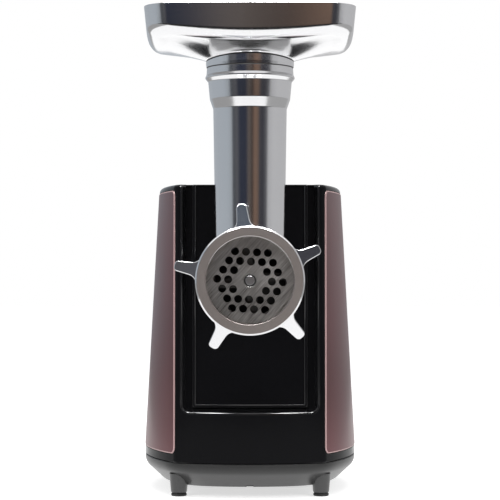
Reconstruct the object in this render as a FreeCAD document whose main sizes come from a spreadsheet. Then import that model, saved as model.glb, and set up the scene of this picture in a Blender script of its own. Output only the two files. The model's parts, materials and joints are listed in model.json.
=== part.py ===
import FreeCAD, Part
import math
import os
import re

import Sketcher
from FreeCAD import Placement, Rotation, Vector

# An upright electric meat grinder: a glossy housing with side panels on a base pan, holding a motor
# and a gear train, and in front a cast head with feed throat, worm, knife, plate, ring nut and tray.
# Millimetres and degrees. +X is the right side seen from the front, +Y the back and +Z up.
# Depths are measured to the back from the axis of the feed throat.

DIMENSIONS = {
    # Where the axes stand
    "throat_y": -74,
    "barrel_z": 154,
    "motor_z": 68,
    # Housing: four arcs in plan, drawn in towards the top
    "body_front": 32,
    "body_back": 217,
    "body_top": 221,
    "seam_z": 25,
    "corner_half": 53,
    "front_radius": 135,
    "base_half": 78.3,
    "top_half": 67.3,
    "wall": 2.5,
    "top_round": 3,
    "cut_depth": 10,
    "root_depth": 1,
    # Side panels, let into the housing
    "panel_thick": 1.6,
    "panel_bottom": 31,
    "panel_top": 217,
    "panel_round": 3.5,
    # Recess of the front, open at the top
    "recess_half": 47.5,
    "recess_bottom": 61.1,
    "recess_round": 4,
    "recess_bevel": 3.6,
    "bevel_depth": 41.5,
    "frame_depth": 46,
    "frame_half": 49.5,
    "frame_bottom": 57,
    # Front panel in the recess
    "inset_half": 39.7,
    "inset_bottom": 67.9,
    "inset_depth": 44,
    "flange_half": 46.5,
    "flange_bottom": 63,
    "flange_thick": 2.5,
    # Base pan, feet and screws
    "base_bottom": 7.5,
    "rim_bottom": 19.5,
    "base_inset": 14,
    "rim_inset": 0.4,
    "foot_x": 50.6,
    "foot_front": 58,
    "foot_back": 191,
    "foot_radius": 5.7,
    "foot_root_radius": 6.8,
    "foot_root": 15,
    "pad_thick": 2.5,
    "post_x": 44,
    "post_front": 84,
    "post_back": 178,
    "post_radius": 4.5,
    "post_top": 48,
    "screw_radius": 1.8,
    "screw_head": 3.6,
    "screw_head_thick": 2.4,
    "screw_sink": 4,
    "screw_seat": 14,
    "screw_top": 43,
    # Openings of the back
    "vent_half": 22,
    "vent_height": 3,
    "vent_pitch": 7,
    "vent_top": 84,
    "floor_vent_front": 104,
    "gland_z": 48,
    "gland_radius": 6,
    "gland_flange": 8.5,
    "gland_bore": 3.6,
    "gland_thick": 4,
    "gland_end": 216.8,
    "switch_z": 150,
    "switch_half_width": 10.8,
    "switch_half_height": 16.8,
    "switch_depth": 24,
    "switch_boss": 5.5,
    "switch_boss_edge": 4,
    "bezel_half_width": 15,
    "bezel_half_height": 21,
    "bezel_thick": 1.8,
    "bezel_recess": 2.8,
    "bezel_room": 1,
    "rocker_half_width": 8.6,
    "rocker_half_height": 14,
    "rocker_room": 0.9,
    "rocker_side_room": 0.3,
    "rocker_heel": 6,
    "rocker_lean": 1,
    "rocker_dip": 1.8,
    "rocker_depth": 9,
    "pivot_depth": 212,
    "pivot_radius": 1.5,
    "pivot_half": 10.2,
    "pivot_room": 0.2,
    # Grinder head
    "nose_front": -57,
    "nose_back": -36,
    "nose_radius": 33,
    "barrel_radius": 28,
    "collar_front": 35,
    "collar_slope": 2,
    "collar_back": 40.6,
    "collar_radius": 34,
    "spigot_radius": 25,
    "spigot_back": 55,
    "seat_radius": 31,
    "seat_back": -53.9,
    "knife_room": 28,
    "knife_room_back": -45.6,
    "worm_bore": 23.2,
    "worm_bore_back": 39,
    "lug_radius": 28.6,
    "lug_front": 46,
    "lug_back": 50,
    "lug_angle": 34,
    "lug_room": 0.4,
    "slot_ease": 4,
    "twist": 40,
    # Feed throat
    "throat_radius": 23.6,
    "throat_upper_radius": 25,
    "cone_bottom": 270,
    "cone_top": 276.6,
    "collar_foot": 27.3,
    "neck_radius": 28.4,
    "bead_bottom": 288.4,
    "bead_low": 290.4,
    "bead_high": 291.6,
    "bead_top": 293.4,
    "bead_radius": 30.6,
    "mouth_foot": 29.6,
    "mouth_top": 298,
    "mouth_edge": 29.3,
    "mouth_radius": 25.5,
    "mouth_floor": 283,
    "feed_radius": 21.5,
    "feed_opening": 22.3,
    "feed_step": 180,
    "skirt_radius": 26.5,
    "skirt_bottom": 173,
    "skirt_top": 182,
    # Cutting plate, knife and ring nut
    "plate_radius": 30.8,
    "plate_front": -59,
    "plate_back": -54,
    "hole_radius": 2.55,
    "hole_pitch": 7.1,
    "plate_bore": 3.8,
    "plate_turn": 3,
    "key_radius": 1.8,
    "key_room": 0.3,
    "knife_front": -53.85,
    "knife_back": -48.6,
    "knife_hub": 10.5,
    "knife_reach": 26,
    "knife_root_half": 5,
    "knife_tip_half": 3.2,
    "knife_thick": 3.4,
    "square_half": 4,
    "square_room": 0.1,
    "ring_front": -62.3,
    "ring_lip_back": -59.1,
    "ring_back": -42,
    "ring_radius": 35.5,
    "ring_face": 32.6,
    "ring_lip": 28.5,
    "ring_thread": 33.3,
    "wing_reach": 49.2,
    "wing_half": 3.1,
    "wing_round": 2.9,
    "wing_root": 4.4,
    "wing_length": 11,
    "wing_first": 24.6,
    "wing_set": 1.2,
    # Worm
    "pin_radius": 3.75,
    "pin_bevel": 0.6,
    "core_front": -48.2,
    "core_front_radius": 9.5,
    "core_back_radius": 12,
    "core_flare": 4,
    "square_front": -53.7,
    "thrust_front": 34,
    "thrust_back": 38,
    "thrust_radius": 17,
    "journal_radius": 9,
    "journal_back": 52,
    "tail_back": 63,
    "tail_radius": 5.8,
    "flight_front": -43,
    "flight_length": 72,
    "flight_pitch": 26,
    "flight_radius": 22.5,
    "flight_root_half": 3.6,
    "flight_root": 7.5,
    "flight_tip_half": 1.7,
    "bush_outer": 13,
    "running_fit": 0.05,
    # Tray
    "tray_half_width": 68.3,
    "tray_half_length": 69,
    "tray_rim": 333,
    "tray_bottom": 310.2,
    "tray_sheet": 1.3,
    "tray_draft": 5.5,
    "tray_corner": 17,
    "tray_bottom_round": 6.3,
    "tray_neck": 29.3,
    "tray_flare": 59,
    "flare_bottom": 302.6,
    "spout_outer": 25.2,
    "spout_inner": 24.1,
    "spout_bottom": 284,
    # Gear train
    "gear_pressure": 25,
    "gear_addendum": 0.8,
    "gear_dedendum": 1.05,
    "gear_backlash": 0.14,
    "gear_slack": 0.1,
    "motor_teeth": 10,
    "first_teeth": 60,
    "first_module": 0.9,
    "pinion_teeth": 12,
    "second_teeth": 40,
    "second_module": 1.4,
    "output_teeth": 36,
    "output_module": 1.9,
    "axle_two_x": 15.4,
    "axle_radius": 4,
    "output_front": 65.5,
    "output_back": 79,
    "second_front": 81,
    "second_back": 90,
    "first_front": 92,
    "first_back": 99,
    # Gearbox
    "box_half": 50.5,
    "box_top": 196,
    "box_bottom": 55,
    "box_front": 60,
    "box_back": 101,
    "box_wall": 3,
    "box_round": 10,
    "box_inner_round": 14,
    "box_cover": 3,
    "box_screw_set": 5.2,
    "box_screw_length": 9,
    "box_screw_hole": 12,
    "blind_floor": 1,
    "socket_front": 41,
    "socket_radius": 31,
    "socket_flange": 37,
    "socket_flange_back": 52,
    "socket_bore": 25.4,
    "socket_room": 29,
    "socket_floor": 56,
    "coupling_radius": 12,
    "coupling_front": 55.6,
    "coupling_back": 64.8,
    "coupling_bush": 16,
    "coupling_deep": 7.9,
    "output_shaft": 8,
    # Motor
    "shaft_radius": 4,
    "shaft_back": 207,
    "bearing_radius": 8,
    "bearing_boss": 11,
    "front_bearing_back": 108,
    "stator_half": 36,
    "stator_height_half": 30,
    "stator_round": 14,
    "stator_front": 128,
    "stator_back": 168,
    "stator_bore": 21.2,
    "core_radius": 20.6,
    "core_slots": 12,
    "slot_half": 1.2,
    "slot_deep": 6,
    "coil_inner": 22.5,
    "coil_outer": 30,
    "coil_over": 6,
    "winding_outer": 17,
    "winding_inner": 6,
    "commutator_radius": 11,
    "commutator_front": 178,
    "commutator_back": 192,
    "fan_front": 110,
    "fan_back": 119,
    "fan_disc": 1.5,
    "fan_radius": 29,
    "fan_hub": 8,
    "fan_blades": 9,
    "bracket_front": 197,
    "bracket_back": 202,
    "bracket_half": 38,
    "bracket_height_half": 9,
    "bracket_boss_front": 194,
    "bracket_boss_back": 206,
    "bolt_x": 33,
    "bolt_radius": 2,
    "bolt_head": 3.6,
    "bolt_head_thick": 3,
    "holder_front": 181,
    "holder_inner": 12.5,
    "holder_outer": 29,
    "holder_half": 5,
    "brush_half": 2.6,
    "brush_front": 183,
    "brush_back": 190,
    "brush_outer": 25,
    "mount_x": 20,
    "mount_half": 9,
    "mount_front": 138,
    "mount_back": 158,
    "mount_bottom": 30,
    "rib_x": 31,
    "rib_half": 2,
    "rib_front": 64,
    "rib_back": 98,
}

ALONG_Z = Rotation()
ALONG_Y = Rotation(Vector(1, 0, 0), -90)
ALONG_X = Rotation(Vector(0, 1, 0), 90)
BARREL = ("0", "0", "barrel_z")
MOTOR = ("0", "0", "motor_z")
SIDES = ("-1", "1")
VENT_COUNT = 5
LUG_COUNT = "3"
WING_COUNT = "5"
ARM_COUNT = "4"
NEAR = 0.01

doc = FreeCAD.newDocument("meat_grinder")
sheet = doc.addObject("Spreadsheet::Sheet", "dims")
nodes = []


# Sheet and expressions

def store(dimensions, first_row=1):
    """Write driving dimensions into the sheet, one to a row."""
    for row, (alias, value) in enumerate(dimensions.items(), first_row):
        sheet.set(f"A{row}", alias)
        sheet.set(f"B{row}", str(value))
        sheet.setAlias(f"B{row}", alias)
    doc.recompute()


def formula(text):
    """Turn plain dimension names into references to the sheet."""
    return re.sub(r"\b[a-z]\w*", lambda name: refer(name.group(0)), text)


def refer(name):
    return f"dims.{name}" if sheet.getCellFromAlias(name) else name


def size(text):
    """Present value of an expression."""
    return float(sheet.evalExpression(formula(text)))


def bind(item, path, text):
    item.setExpression(path, formula(text))


def place(item, at, turn=ALONG_Z):
    """Turn an object and bind its place, with the depth counted from the throat's axis."""
    item.Placement = Placement(Vector(), turn)
    bind(item, "Placement.Base.x", at[0])
    bind(item, "Placement.Base.y", f"throat_y + ({at[1]})")
    bind(item, "Placement.Base.z", at[2])


def keep(item, label):
    """Name an object as one sub-part of the grinder."""
    item.Label = label
    nodes.append(item)
    return item


# Primitives and booleans

def box(name, low, high):
    """A block between two corners given as expressions."""
    block = doc.addObject("Part::Box", name)
    for side, start, end in zip(("Length", "Width", "Height"), low, high):
        bind(block, side, f"({end}) - ({start})")
    place(block, low)
    return block


def cylinder(name, radius, start, end, at, axis="y"):
    """A round bar from start to end along its axis; at gives the other two coordinates."""
    bar = doc.addObject("Part::Cylinder", name)
    bind(bar, "Radius", radius)
    bind(bar, "Height", f"({end}) - ({start})")
    origin = list(at)
    origin.insert("xyz".index(axis), start)
    place(bar, origin, {"x": ALONG_X, "y": ALONG_Y, "z": ALONG_Z}[axis])
    return bar


def fuse(name, *parts):
    joined = doc.addObject("Part::MultiFuse", name)
    joined.Shapes = list(parts)
    return joined


def cut(name, base, *tools):
    result = doc.addObject("Part::Cut", name)
    result.Base = base
    result.Tool = tools[0] if len(tools) == 1 else fuse(name + "_tools", *tools)
    return result


def common(name, first, second):
    shared = doc.addObject("Part::MultiCommon", name)
    shared.Shapes = [first, second]
    return shared


def group(name, *solids):
    bundle = doc.addObject("Part::Compound", name)
    bundle.Links = list(solids)
    return bundle


def mirror(name, source):
    """The same piece on the other side of the middle plane."""
    copy = doc.addObject("Part::Mirroring", name)
    copy.Source = source
    copy.Normal = Vector(1, 0, 0)
    return copy


def loft(name, *sections):
    skin = doc.addObject("Part::Loft", name)
    skin.Sections = list(sections)
    skin.Solid = True
    skin.Ruled = True
    return skin


def blend(name, base, radius, chosen):
    """Round the edges of a solid that pass a test."""
    doc.recompute()
    rounded = doc.addObject("Part::Fillet", name)
    rounded.Base = base
    reach = size(radius)
    rounded.Edges = [(i, reach, reach) for i, edge in enumerate(base.Shape.Edges, 1) if chosen(edge)]
    return rounded


# Sketches and features of bodies

def new_body(label, at=("0", "0", "0"), turn=ALONG_Z):
    part = doc.addObject("PartDesign::Body", label)
    place(part, at, turn)
    return part


def new_sketch(part, plane="XY_Plane", offset="0", turn=0):
    drawing = part.newObject("Sketcher::SketchObject", part.Name + "_sketch")
    support = next(item for item in part.Origin.OriginFeatures if item.Role == plane)
    drawing.AttachmentSupport = [(support, "")]
    drawing.MapMode = "FlatFace"
    drawing.AttachmentOffset = Placement(Vector(), Rotation(Vector(0, 0, 1), turn))
    bind(drawing, "AttachmentOffset.Base.z", offset)
    return drawing


def fix_point(drawing, element, point, at):
    """Bind one point of a sketch to two expressions."""
    for kind, text in zip(("DistanceX", "DistanceY"), at):
        index = drawing.addConstraint(Sketcher.Constraint(kind, -1, 1, element, point, size(text)))
        bind(drawing, f"Constraints[{index}]", text)


def polygon(drawing, corners):
    """A closed straight-sided outline through corners given as pairs of expressions."""
    spots = [Vector(size(across), size(along), 0) for across, along in corners]
    first = drawing.GeometryCount
    count = len(spots)
    for index in range(count):
        drawing.addGeometry(Part.LineSegment(spots[index], spots[(index + 1) % count]), False)
    for index, corner in enumerate(corners):
        following = first + (index + 1) % count
        drawing.addConstraint(Sketcher.Constraint("Coincident", first + index, 2, following, 1))
        fix_point(drawing, first + index, 1, corner)
    return drawing


def rectangle(drawing, low, high):
    return polygon(drawing, [low, (high[0], low[1]), high, (low[0], high[1])])


def circle(drawing, radius, at=("0", "0")):
    centre = Vector(size(at[0]), size(at[1]), 0)
    index = drawing.addGeometry(Part.Circle(centre, Vector(0, 0, 1), size(radius)), False)
    fix_point(drawing, index, 3, at)
    limit = drawing.addConstraint(Sketcher.Constraint("Radius", index, size(radius)))
    bind(drawing, f"Constraints[{limit}]", radius)
    return drawing


def revolve(part, corners, plane="XZ_Plane", kind="Revolution", angle="360"):
    """Turn an outline of (radius, along) pairs about the upright axis of its plane."""
    drawing = polygon(new_sketch(part, plane), corners)
    turned = part.newObject("PartDesign::" + kind, part.Name + "_turned")
    turned.Profile = drawing
    turned.ReferenceAxis = (drawing, ["V_Axis"])
    turned.Midplane = True
    bind(turned, "Angle", angle)
    return turned


def extrude(part, drawing, length, kind="Pad", back=False):
    """Pad or pocket a sketch; back points along the sketch's normal for a pocket."""
    raised = part.newObject("PartDesign::" + kind, part.Name + "_raised")
    raised.Profile = drawing
    raised.Reversed = back
    bind(raised, "Length", length)
    return raised


def repeat(part, feature, count):
    """Copy a feature evenly about the body's Z axis."""
    pattern = part.newObject("PartDesign::PolarPattern", part.Name + "_pattern")
    pattern.Originals = [feature]
    axis = next(item for item in part.Origin.OriginFeatures if item.Role == "Z_Axis")
    pattern.Axis = (axis, [""])
    pattern.Angle = 360
    bind(pattern, "Occurrences", count)
    part.Tip = pattern
    return pattern


def round_edges(part, radius, chosen):
    """Fillet the edges of a body that pass a test."""
    doc.recompute()
    base = part.Tip
    names = [f"Edge{i}" for i, edge in enumerate(base.Shape.Edges, 1) if chosen(edge)]
    rounded = part.newObject("PartDesign::Fillet", part.Name + "_round")
    rounded.Base = (base, names)
    bind(rounded, "Radius", radius)
    return rounded


def turned_part(label, corners, at=BARREL):
    """A part turned about an axis that runs to the back."""
    part = new_body(label, at, ALONG_Y)
    revolve(part, corners)
    return keep(part, label)


def tube(label, inner, outer, front, back, at=BARREL):
    corners = [(inner, front), (outer, front), (outer, back), (inner, back)]
    return turned_part(label, corners, at)


# Tests that choose edges

def level(edge, height):
    """The whole edge lies at one height."""
    return abs(edge.BoundBox.ZMin - height) < NEAR and abs(edge.BoundBox.ZMax - height) < NEAR


def straight_along(edge, direction):
    if not isinstance(edge.Curve, Part.Line):
        return False
    return abs(edge.Curve.Direction.dot(direction)) > 1 - NEAR


def upright_edge(edge):
    return straight_along(edge, Vector(0, 0, 1))


def out_from_axis(edge):
    """Distance of the edge's first end from the body's Z axis."""
    return math.hypot(edge.Vertexes[0].X, edge.Vertexes[0].Y)


# Housing

CORNER_SET = "(front_radius - sqrt(front_radius^2 - corner_half^2))"
SIDE_CHORD = f"((body_back - body_front)/2 - {CORNER_SET})"
MIDDLE = "(body_front + body_back)/2"


def half_width(height):
    return f"(base_half + (top_half - base_half)*(({height}) - seam_z)/(body_top - seam_z))"


def side_radius(height):
    rise = f"({half_width(height)} - corner_half)"
    return f"(({SIDE_CHORD}^2 + {rise}^2)/(2*{rise}))"


def meet(first, first_radius, second, second_radius):
    """The two crossings of two circles."""
    apart = second - first
    reach = apart.Length
    along = (first_radius ** 2 - second_radius ** 2 + reach ** 2) / (2 * reach)
    aside = math.sqrt(first_radius ** 2 - along ** 2)
    step = apart / reach
    foot = first + step * along
    across = Vector(-step.y, step.x, 0) * aside
    return foot + across, foot - across


def plan_outline(name, height, side_inset, end_inset):
    """Plan of the housing at a height: front, right, back and left arcs, each drawn in."""
    drawing = doc.addObject("Sketcher::SketchObject", name)
    place(drawing, ("0", "0", height))
    bow = side_radius(height)
    side_x = f"({half_width(height)} - {bow})"
    arcs = [
        ("0", "body_front + front_radius", f"front_radius - ({end_inset})"),
        (side_x, MIDDLE, f"{bow} - ({side_inset})"),
        ("0", "body_back - front_radius", f"front_radius - ({end_inset})"),
        (f"-{side_x}", MIDDLE, f"{bow} - ({side_inset})"),
    ]
    centres = [Vector(size(x), size(y), 0) for x, y, _ in arcs]
    radii = [size(radius) for _, _, radius in arcs]
    corner = max(meet(centres[0], radii[0], centres[1], radii[1]), key=lambda spot: spot.x)
    rear = 2 * size(MIDDLE) - corner.y
    corners = [Vector(-corner.x, corner.y, 0), corner,
               Vector(corner.x, rear, 0), Vector(-corner.x, rear, 0)]
    for index, (centre, radius) in enumerate(zip(centres, radii)):
        start = corners[index] - centre
        end = corners[(index + 1) % 4] - centre
        ring = Part.Circle(centre, Vector(0, 0, 1), radius)
        span = Part.ArcOfCircle(ring, math.atan2(start.y, start.x), math.atan2(end.y, end.x))
        drawing.addGeometry(span, False)
    for index, (x, y, radius) in enumerate(arcs):
        drawing.addConstraint(Sketcher.Constraint("Coincident", index, 2, (index + 1) % 4, 1))
        fix_point(drawing, index, 3, (x, y))
        limit = drawing.addConstraint(Sketcher.Constraint("Radius", index, radii[index]))
        bind(drawing, f"Constraints[{limit}]", radius)
    return drawing


def recess_outline(name, depth, inset):
    """Upright outline of the front recess, open past the top, at a depth."""
    drawing = doc.addObject("Sketcher::SketchObject", name)
    place(drawing, ("0", depth, "0"), Rotation(Vector(1, 0, 0), 90))
    half = f"(recess_half - {inset})"
    bottom = f"(recess_bottom + {inset})"
    return rectangle(drawing, (f"-{half}", bottom), (half, "body_top + wall"))


def housing_skins():
    """Outer form of the housing, the floor of its side pockets and its hollow."""
    outer = loft("housing_outer", plan_outline("outer_low", "seam_z", "0", "0"),
                 plan_outline("outer_high", "body_top", "0", "0"))
    pocket_floor = loft("pocket_floor", plan_outline("floor_low", "seam_z", "panel_thick", "0"),
                        plan_outline("floor_high", "body_top", "panel_thick", "0"))
    hollow = loft("housing_hollow", plan_outline("hollow_low", "seam_z", "panel_thick + wall", "wall"),
                  plan_outline("hollow_high", "body_top - wall", "panel_thick + wall", "wall"))
    return outer, pocket_floor, hollow


def side_panels(outer, pocket_floor):
    """Thin panels that fill pockets from corner to corner on both sides."""
    window = box("panel_window", ("corner_half", "body_front", "panel_bottom"),
                 ("base_half + wall", "body_back", "panel_top"))
    inner_edge = size("corner_half")
    window = blend("panel_window_round", window, "panel_round",
                   lambda edge: straight_along(edge, Vector(0, 1, 0))
                   and abs(edge.BoundBox.XMax - inner_edge) < NEAR)
    room = cut("panel_room", window, pocket_floor)
    right = common("right_side_panel", outer, room)
    left = mirror("left_side_panel", right)
    keep(right, "right_side_panel")
    keep(left, "left_side_panel")
    return room, mirror("panel_room_left", room)


def post_places():
    return [(f"{side}*post_x", depth) for side in SIDES for depth in ("post_front", "post_back")]


def screw_bosses(hollow):
    """Bosses for the base screws, each tied to the side wall by a rib."""
    bosses = [cylinder("boss", "post_radius", "seam_z", "post_top", at, "z") for at in post_places()]
    for depth in ("post_front", "post_back"):
        for low, high in (("post_x", "base_half"), ("-base_half", "-post_x")):
            bosses.append(box("boss_rib", (low, f"{depth} - wall/2", "seam_z"),
                              (high, f"{depth} + wall/2", "post_top")))
    return common("bosses", fuse("boss_blanks", *bosses), hollow)


def boss_holes():
    return [cylinder("boss_hole", "screw_radius", "seam_z", "post_top - wall", at, "z")
            for at in post_places()]


def back_openings():
    """Vents, the hole for the cord gland and the recess and window of the switch."""
    front = "body_back - cut_depth"
    back = "body_back + wall"
    tools = [cylinder("gland_hole", "gland_radius", front, back, ("0", "gland_z"))]
    for index in range(VENT_COUNT):
        low = f"vent_top - {index}*vent_pitch"
        tools.append(box("vent", ("-vent_half", front, low), ("vent_half", back, f"{low} + vent_height")))
    half = "(bezel_half_width + bezel_room)"
    rise = "(bezel_half_height + bezel_room)"
    tools.append(box("switch_recess", (f"-{half}", "body_back - bezel_recess", f"switch_z - {rise}"),
                     (half, back, f"switch_z + {rise}")))
    tools.append(box("switch_window", ("-switch_half_width", front, "switch_z - switch_half_height"),
                     ("switch_half_width", back, "switch_z + switch_half_height")))
    return tools


def switch_pad(outer):
    """Thicker wall behind the switch's recess."""
    half = "(bezel_half_width + switch_boss_edge)"
    rise = "(bezel_half_height + switch_boss_edge)"
    room = box("switch_pad_room", (f"-{half}", "body_back - switch_boss", f"switch_z - {rise}"),
               (half, "body_back", f"switch_z + {rise}"))
    return common("switch_pad", outer, room)


def housing():
    """Shroud with a closed top: front frame, side pockets, bosses and back openings."""
    outer, pocket_floor, hollow = housing_skins()
    top = size("body_top")
    rounded = blend("housing_rounded", outer, "top_round", lambda edge: level(edge, top))
    pockets = side_panels(outer, pocket_floor)
    frame_room = box("frame_room", ("-frame_half", "body_front", "frame_bottom"),
                     ("frame_half", "frame_depth", "body_top"))
    frame = common("front_frame", rounded, frame_room)
    shell = cut("housing_walls", rounded, hollow)
    filled = fuse("housing_filled", shell, frame, switch_pad(rounded), screw_bosses(hollow))
    recess = loft("recess", recess_outline("recess_front", "body_front - wall", "0"),
                  recess_outline("recess_middle", "bevel_depth", "0"),
                  recess_outline("recess_back", "frame_depth", "recess_bevel"))
    low_edges = size("recess_bottom + recess_bevel") + NEAR
    recess = blend("recess_round", recess, "recess_round",
                   lambda edge: edge.BoundBox.ZMax < low_edges and edge.BoundBox.YLength > NEAR)
    keep(cut("housing_shell", filled, recess, *pockets, *boss_holes(), *back_openings()), "housing_shell")


def front_panel():
    """Raised plate in the recess with a flange behind the frame and a hole for the socket."""
    plate = box("inset_plate", ("-inset_half", "inset_depth", "inset_bottom"),
                ("inset_half", "frame_depth", "body_top"))
    flange = box("inset_flange", ("-flange_half", "frame_depth", "flange_bottom"),
                 ("flange_half", "frame_depth + flange_thick", "body_top - wall"))
    hole = cylinder("inset_hole", "socket_radius + running_fit", "inset_depth",
                    "frame_depth + flange_thick", ("0", "barrel_z"))
    keep(cut("front_panel", fuse("inset_blank", plate, flange), hole), "front_panel")


# Base pan and feet

def foot_places():
    return [(f"{side}*foot_x", depth) for side in SIDES for depth in ("foot_front", "foot_back")]


def foot_post(at):
    post = doc.addObject("Part::Cone", "foot_post")
    bind(post, "Radius1", "foot_radius")
    bind(post, "Radius2", "foot_root_radius")
    bind(post, "Height", "foot_root - pad_thick")
    place(post, (*at, "pad_thick"))
    return post


def base_pan():
    """Pan with a sloping side, four feet, screw posts and ribs that carry gearbox and motor."""
    low, rim = "base_inset", "rim_inset"
    outer = loft("base_outer", plan_outline("base_low", "base_bottom", low, low),
                 plan_outline("base_rim", "rim_bottom", rim, rim),
                 plan_outline("base_top", "seam_z", rim, rim))
    low, rim = "base_inset + wall", "rim_inset + wall"
    hollow = loft("base_hollow", plan_outline("pan_low", "base_bottom + wall", low, low),
                  plan_outline("pan_rim", "rim_bottom + root_depth", rim, rim),
                  plan_outline("pan_top", "seam_z", rim, rim))
    parts = [cut("base_walls", outer, hollow)]
    parts += [foot_post(at) for at in foot_places()]
    for at in post_places():
        parts.append(cylinder("screw_post", "post_radius", "base_bottom", "seam_z", at, "z"))
    for side in SIDES:
        parts.append(box("gearbox_rib", (f"{side}*rib_x - rib_half", "rib_front", "base_bottom"),
                         (f"{side}*rib_x + rib_half", "rib_back", "box_bottom")))
        parts.append(box("motor_rib", (f"{side}*mount_x - mount_half", "mount_front", "base_bottom"),
                         (f"{side}*mount_x + mount_half", "mount_back", "mount_bottom")))
    tools = []
    for at in post_places():
        tools.append(cylinder("screw_hole", "screw_radius", "base_bottom", "seam_z", at, "z"))
        tools.append(cylinder("screw_sink", "screw_sink", "base_bottom", "screw_seat", at, "z"))
    for index in range(VENT_COUNT):
        low = f"floor_vent_front + {index}*vent_pitch"
        tools.append(box("floor_vent", ("-vent_half", low, "base_bottom"),
                         ("vent_half", f"{low} + vent_height", "base_bottom + wall")))
    keep(cut("base_pan", fuse("base_filled", *parts), *tools), "base_pan")


def foot_pads():
    pads = [cylinder("pad", "foot_radius", "0", "pad_thick", at, "z") for at in foot_places()]
    keep(group("foot_pads", *pads), "foot_pads")


def base_screws():
    """Screws driven up through the pan into the housing's bosses."""
    screws = []
    for at in post_places():
        head = cylinder("head", "screw_head", "screw_seat - screw_head_thick", "screw_seat", at, "z")
        shank = cylinder("shank", "screw_radius - running_fit", "screw_seat", "screw_top", at, "z")
        screws.append(fuse("base_screw", head, shank))
    keep(group("base_screws", *screws), "base_screws")


# Grinder head, worm and cutting set

def grinder_head():
    """Cast barrel with a threaded nose, an opening under the feed throat and a bayonet spigot."""
    part = new_body("grinder_head", BARREL, ALONG_Y)
    revolve(part, [("0", "nose_front"), ("nose_radius", "nose_front"), ("nose_radius", "nose_back"),
                   ("barrel_radius", "nose_back + nose_radius - barrel_radius"),
                   ("barrel_radius", "collar_front - collar_slope"), ("collar_radius", "collar_front"),
                   ("collar_radius", "collar_back"), ("spigot_radius", "collar_back"),
                   ("spigot_radius", "spigot_back"), ("0", "spigot_back")])
    inner = "spigot_radius - root_depth"
    lug = revolve(part, [(inner, "lug_front"), ("lug_radius", "lug_front"), ("lug_radius", "lug_back"),
                         (inner, "lug_back")], angle="lug_angle")
    repeat(part, lug, LUG_COUNT)
    revolve(part, [("0", "nose_front"), ("seat_radius", "nose_front"), ("seat_radius", "seat_back"),
                   ("knife_room", "seat_back"), ("knife_room", "knife_room_back"),
                   ("worm_bore", "knife_room_back"), ("worm_bore", "worm_bore_back"),
                   ("bush_outer", "worm_bore_back"), ("bush_outer", "spigot_back"),
                   ("0", "spigot_back")], kind="Groove")
    revolve(part, [("0", "0"), ("feed_opening", "0"), ("feed_opening", "-nose_radius"),
                   ("0", "-nose_radius")], "XY_Plane", kind="Groove")
    key = circle(new_sketch(part, offset="nose_front"), "key_radius - key_room", ("0", "plate_radius"))
    extrude(part, key, "seat_back - nose_front")
    keep(part, "grinder_head")


def feed_throat():
    """Upright tube on the barrel, wider above the worm, with a skirt at its foot and a beaded mouth."""
    tube_blank = new_body("throat_blank")
    revolve(tube_blank, [("feed_opening", "barrel_z"), ("skirt_radius", "barrel_z"),
                         ("skirt_radius", "skirt_bottom"), ("throat_radius", "skirt_top"),
                         ("throat_upper_radius", "cone_bottom"), ("collar_foot", "cone_top"),
                         ("neck_radius", "bead_bottom"), ("bead_radius", "bead_low"),
                         ("bead_radius", "bead_high"), ("mouth_foot", "bead_top"),
                         ("mouth_edge", "mouth_top"), ("mouth_radius", "mouth_top"),
                         ("mouth_radius", "mouth_floor"), ("feed_radius", "mouth_floor"),
                         ("feed_radius", "feed_step"), ("feed_opening", "feed_step")])
    room = cylinder("barrel_room", "barrel_radius + running_fit", "nose_back", "collar_front",
                    ("0", "barrel_z"))
    keep(cut("feed_throat", tube_blank, room), "feed_throat")


def head_bush():
    tube("head_bush", "journal_radius + running_fit", "bush_outer", "worm_bore_back", "spigot_back")


def cutting_plate():
    """Plate with two rings of a hexagonal hole grid, a centre bore and a key notch."""
    part = new_body("cutting_plate", BARREL, ALONG_Y)
    disc = circle(circle(new_sketch(part, offset="plate_front"), "plate_radius"), "plate_bore")
    extrude(part, disc, "plate_back - plate_front")
    notch = circle(new_sketch(part, offset="plate_front"), "key_radius", ("0", "plate_radius"))
    extrude(part, notch, "plate_back - plate_front", "Pocket", back=True)
    holes = new_sketch(part, offset="plate_front", turn=size("plate_turn"))
    for ring in (2, 3):
        for step in range(ring):
            across = f"({ring} - {step}/2)*hole_pitch"
            circle(holes, "hole_radius", (across, f"{step}*hole_pitch*sqrt(3)/2"))
    sector = extrude(part, holes, "plate_back - plate_front", "Pocket", back=True)
    repeat(part, sector, "6")
    keep(part, "cutting_plate")


def cutter_knife():
    """Four-armed knife on the worm's square."""
    part = new_body("cutter_knife", BARREL, ALONG_Y)
    extrude(part, circle(new_sketch(part, offset="knife_front"), "knife_hub"), "knife_back - knife_front")
    arm = polygon(new_sketch(part, offset="knife_front"),
                  [("0", "-knife_root_half"), ("knife_reach", "-knife_root_half"),
                   ("knife_reach", "knife_tip_half - knife_root_half"), ("0", "knife_root_half")])
    repeat(part, extrude(part, arm, "knife_thick"), ARM_COUNT)
    side = "square_half + square_room"
    hole = rectangle(new_sketch(part, offset="knife_front"), (f"-({side})", f"-({side})"), (side, side))
    extrude(part, hole, "knife_back - knife_front", "Pocket", back=True)
    keep(part, "cutter_knife")


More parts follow.
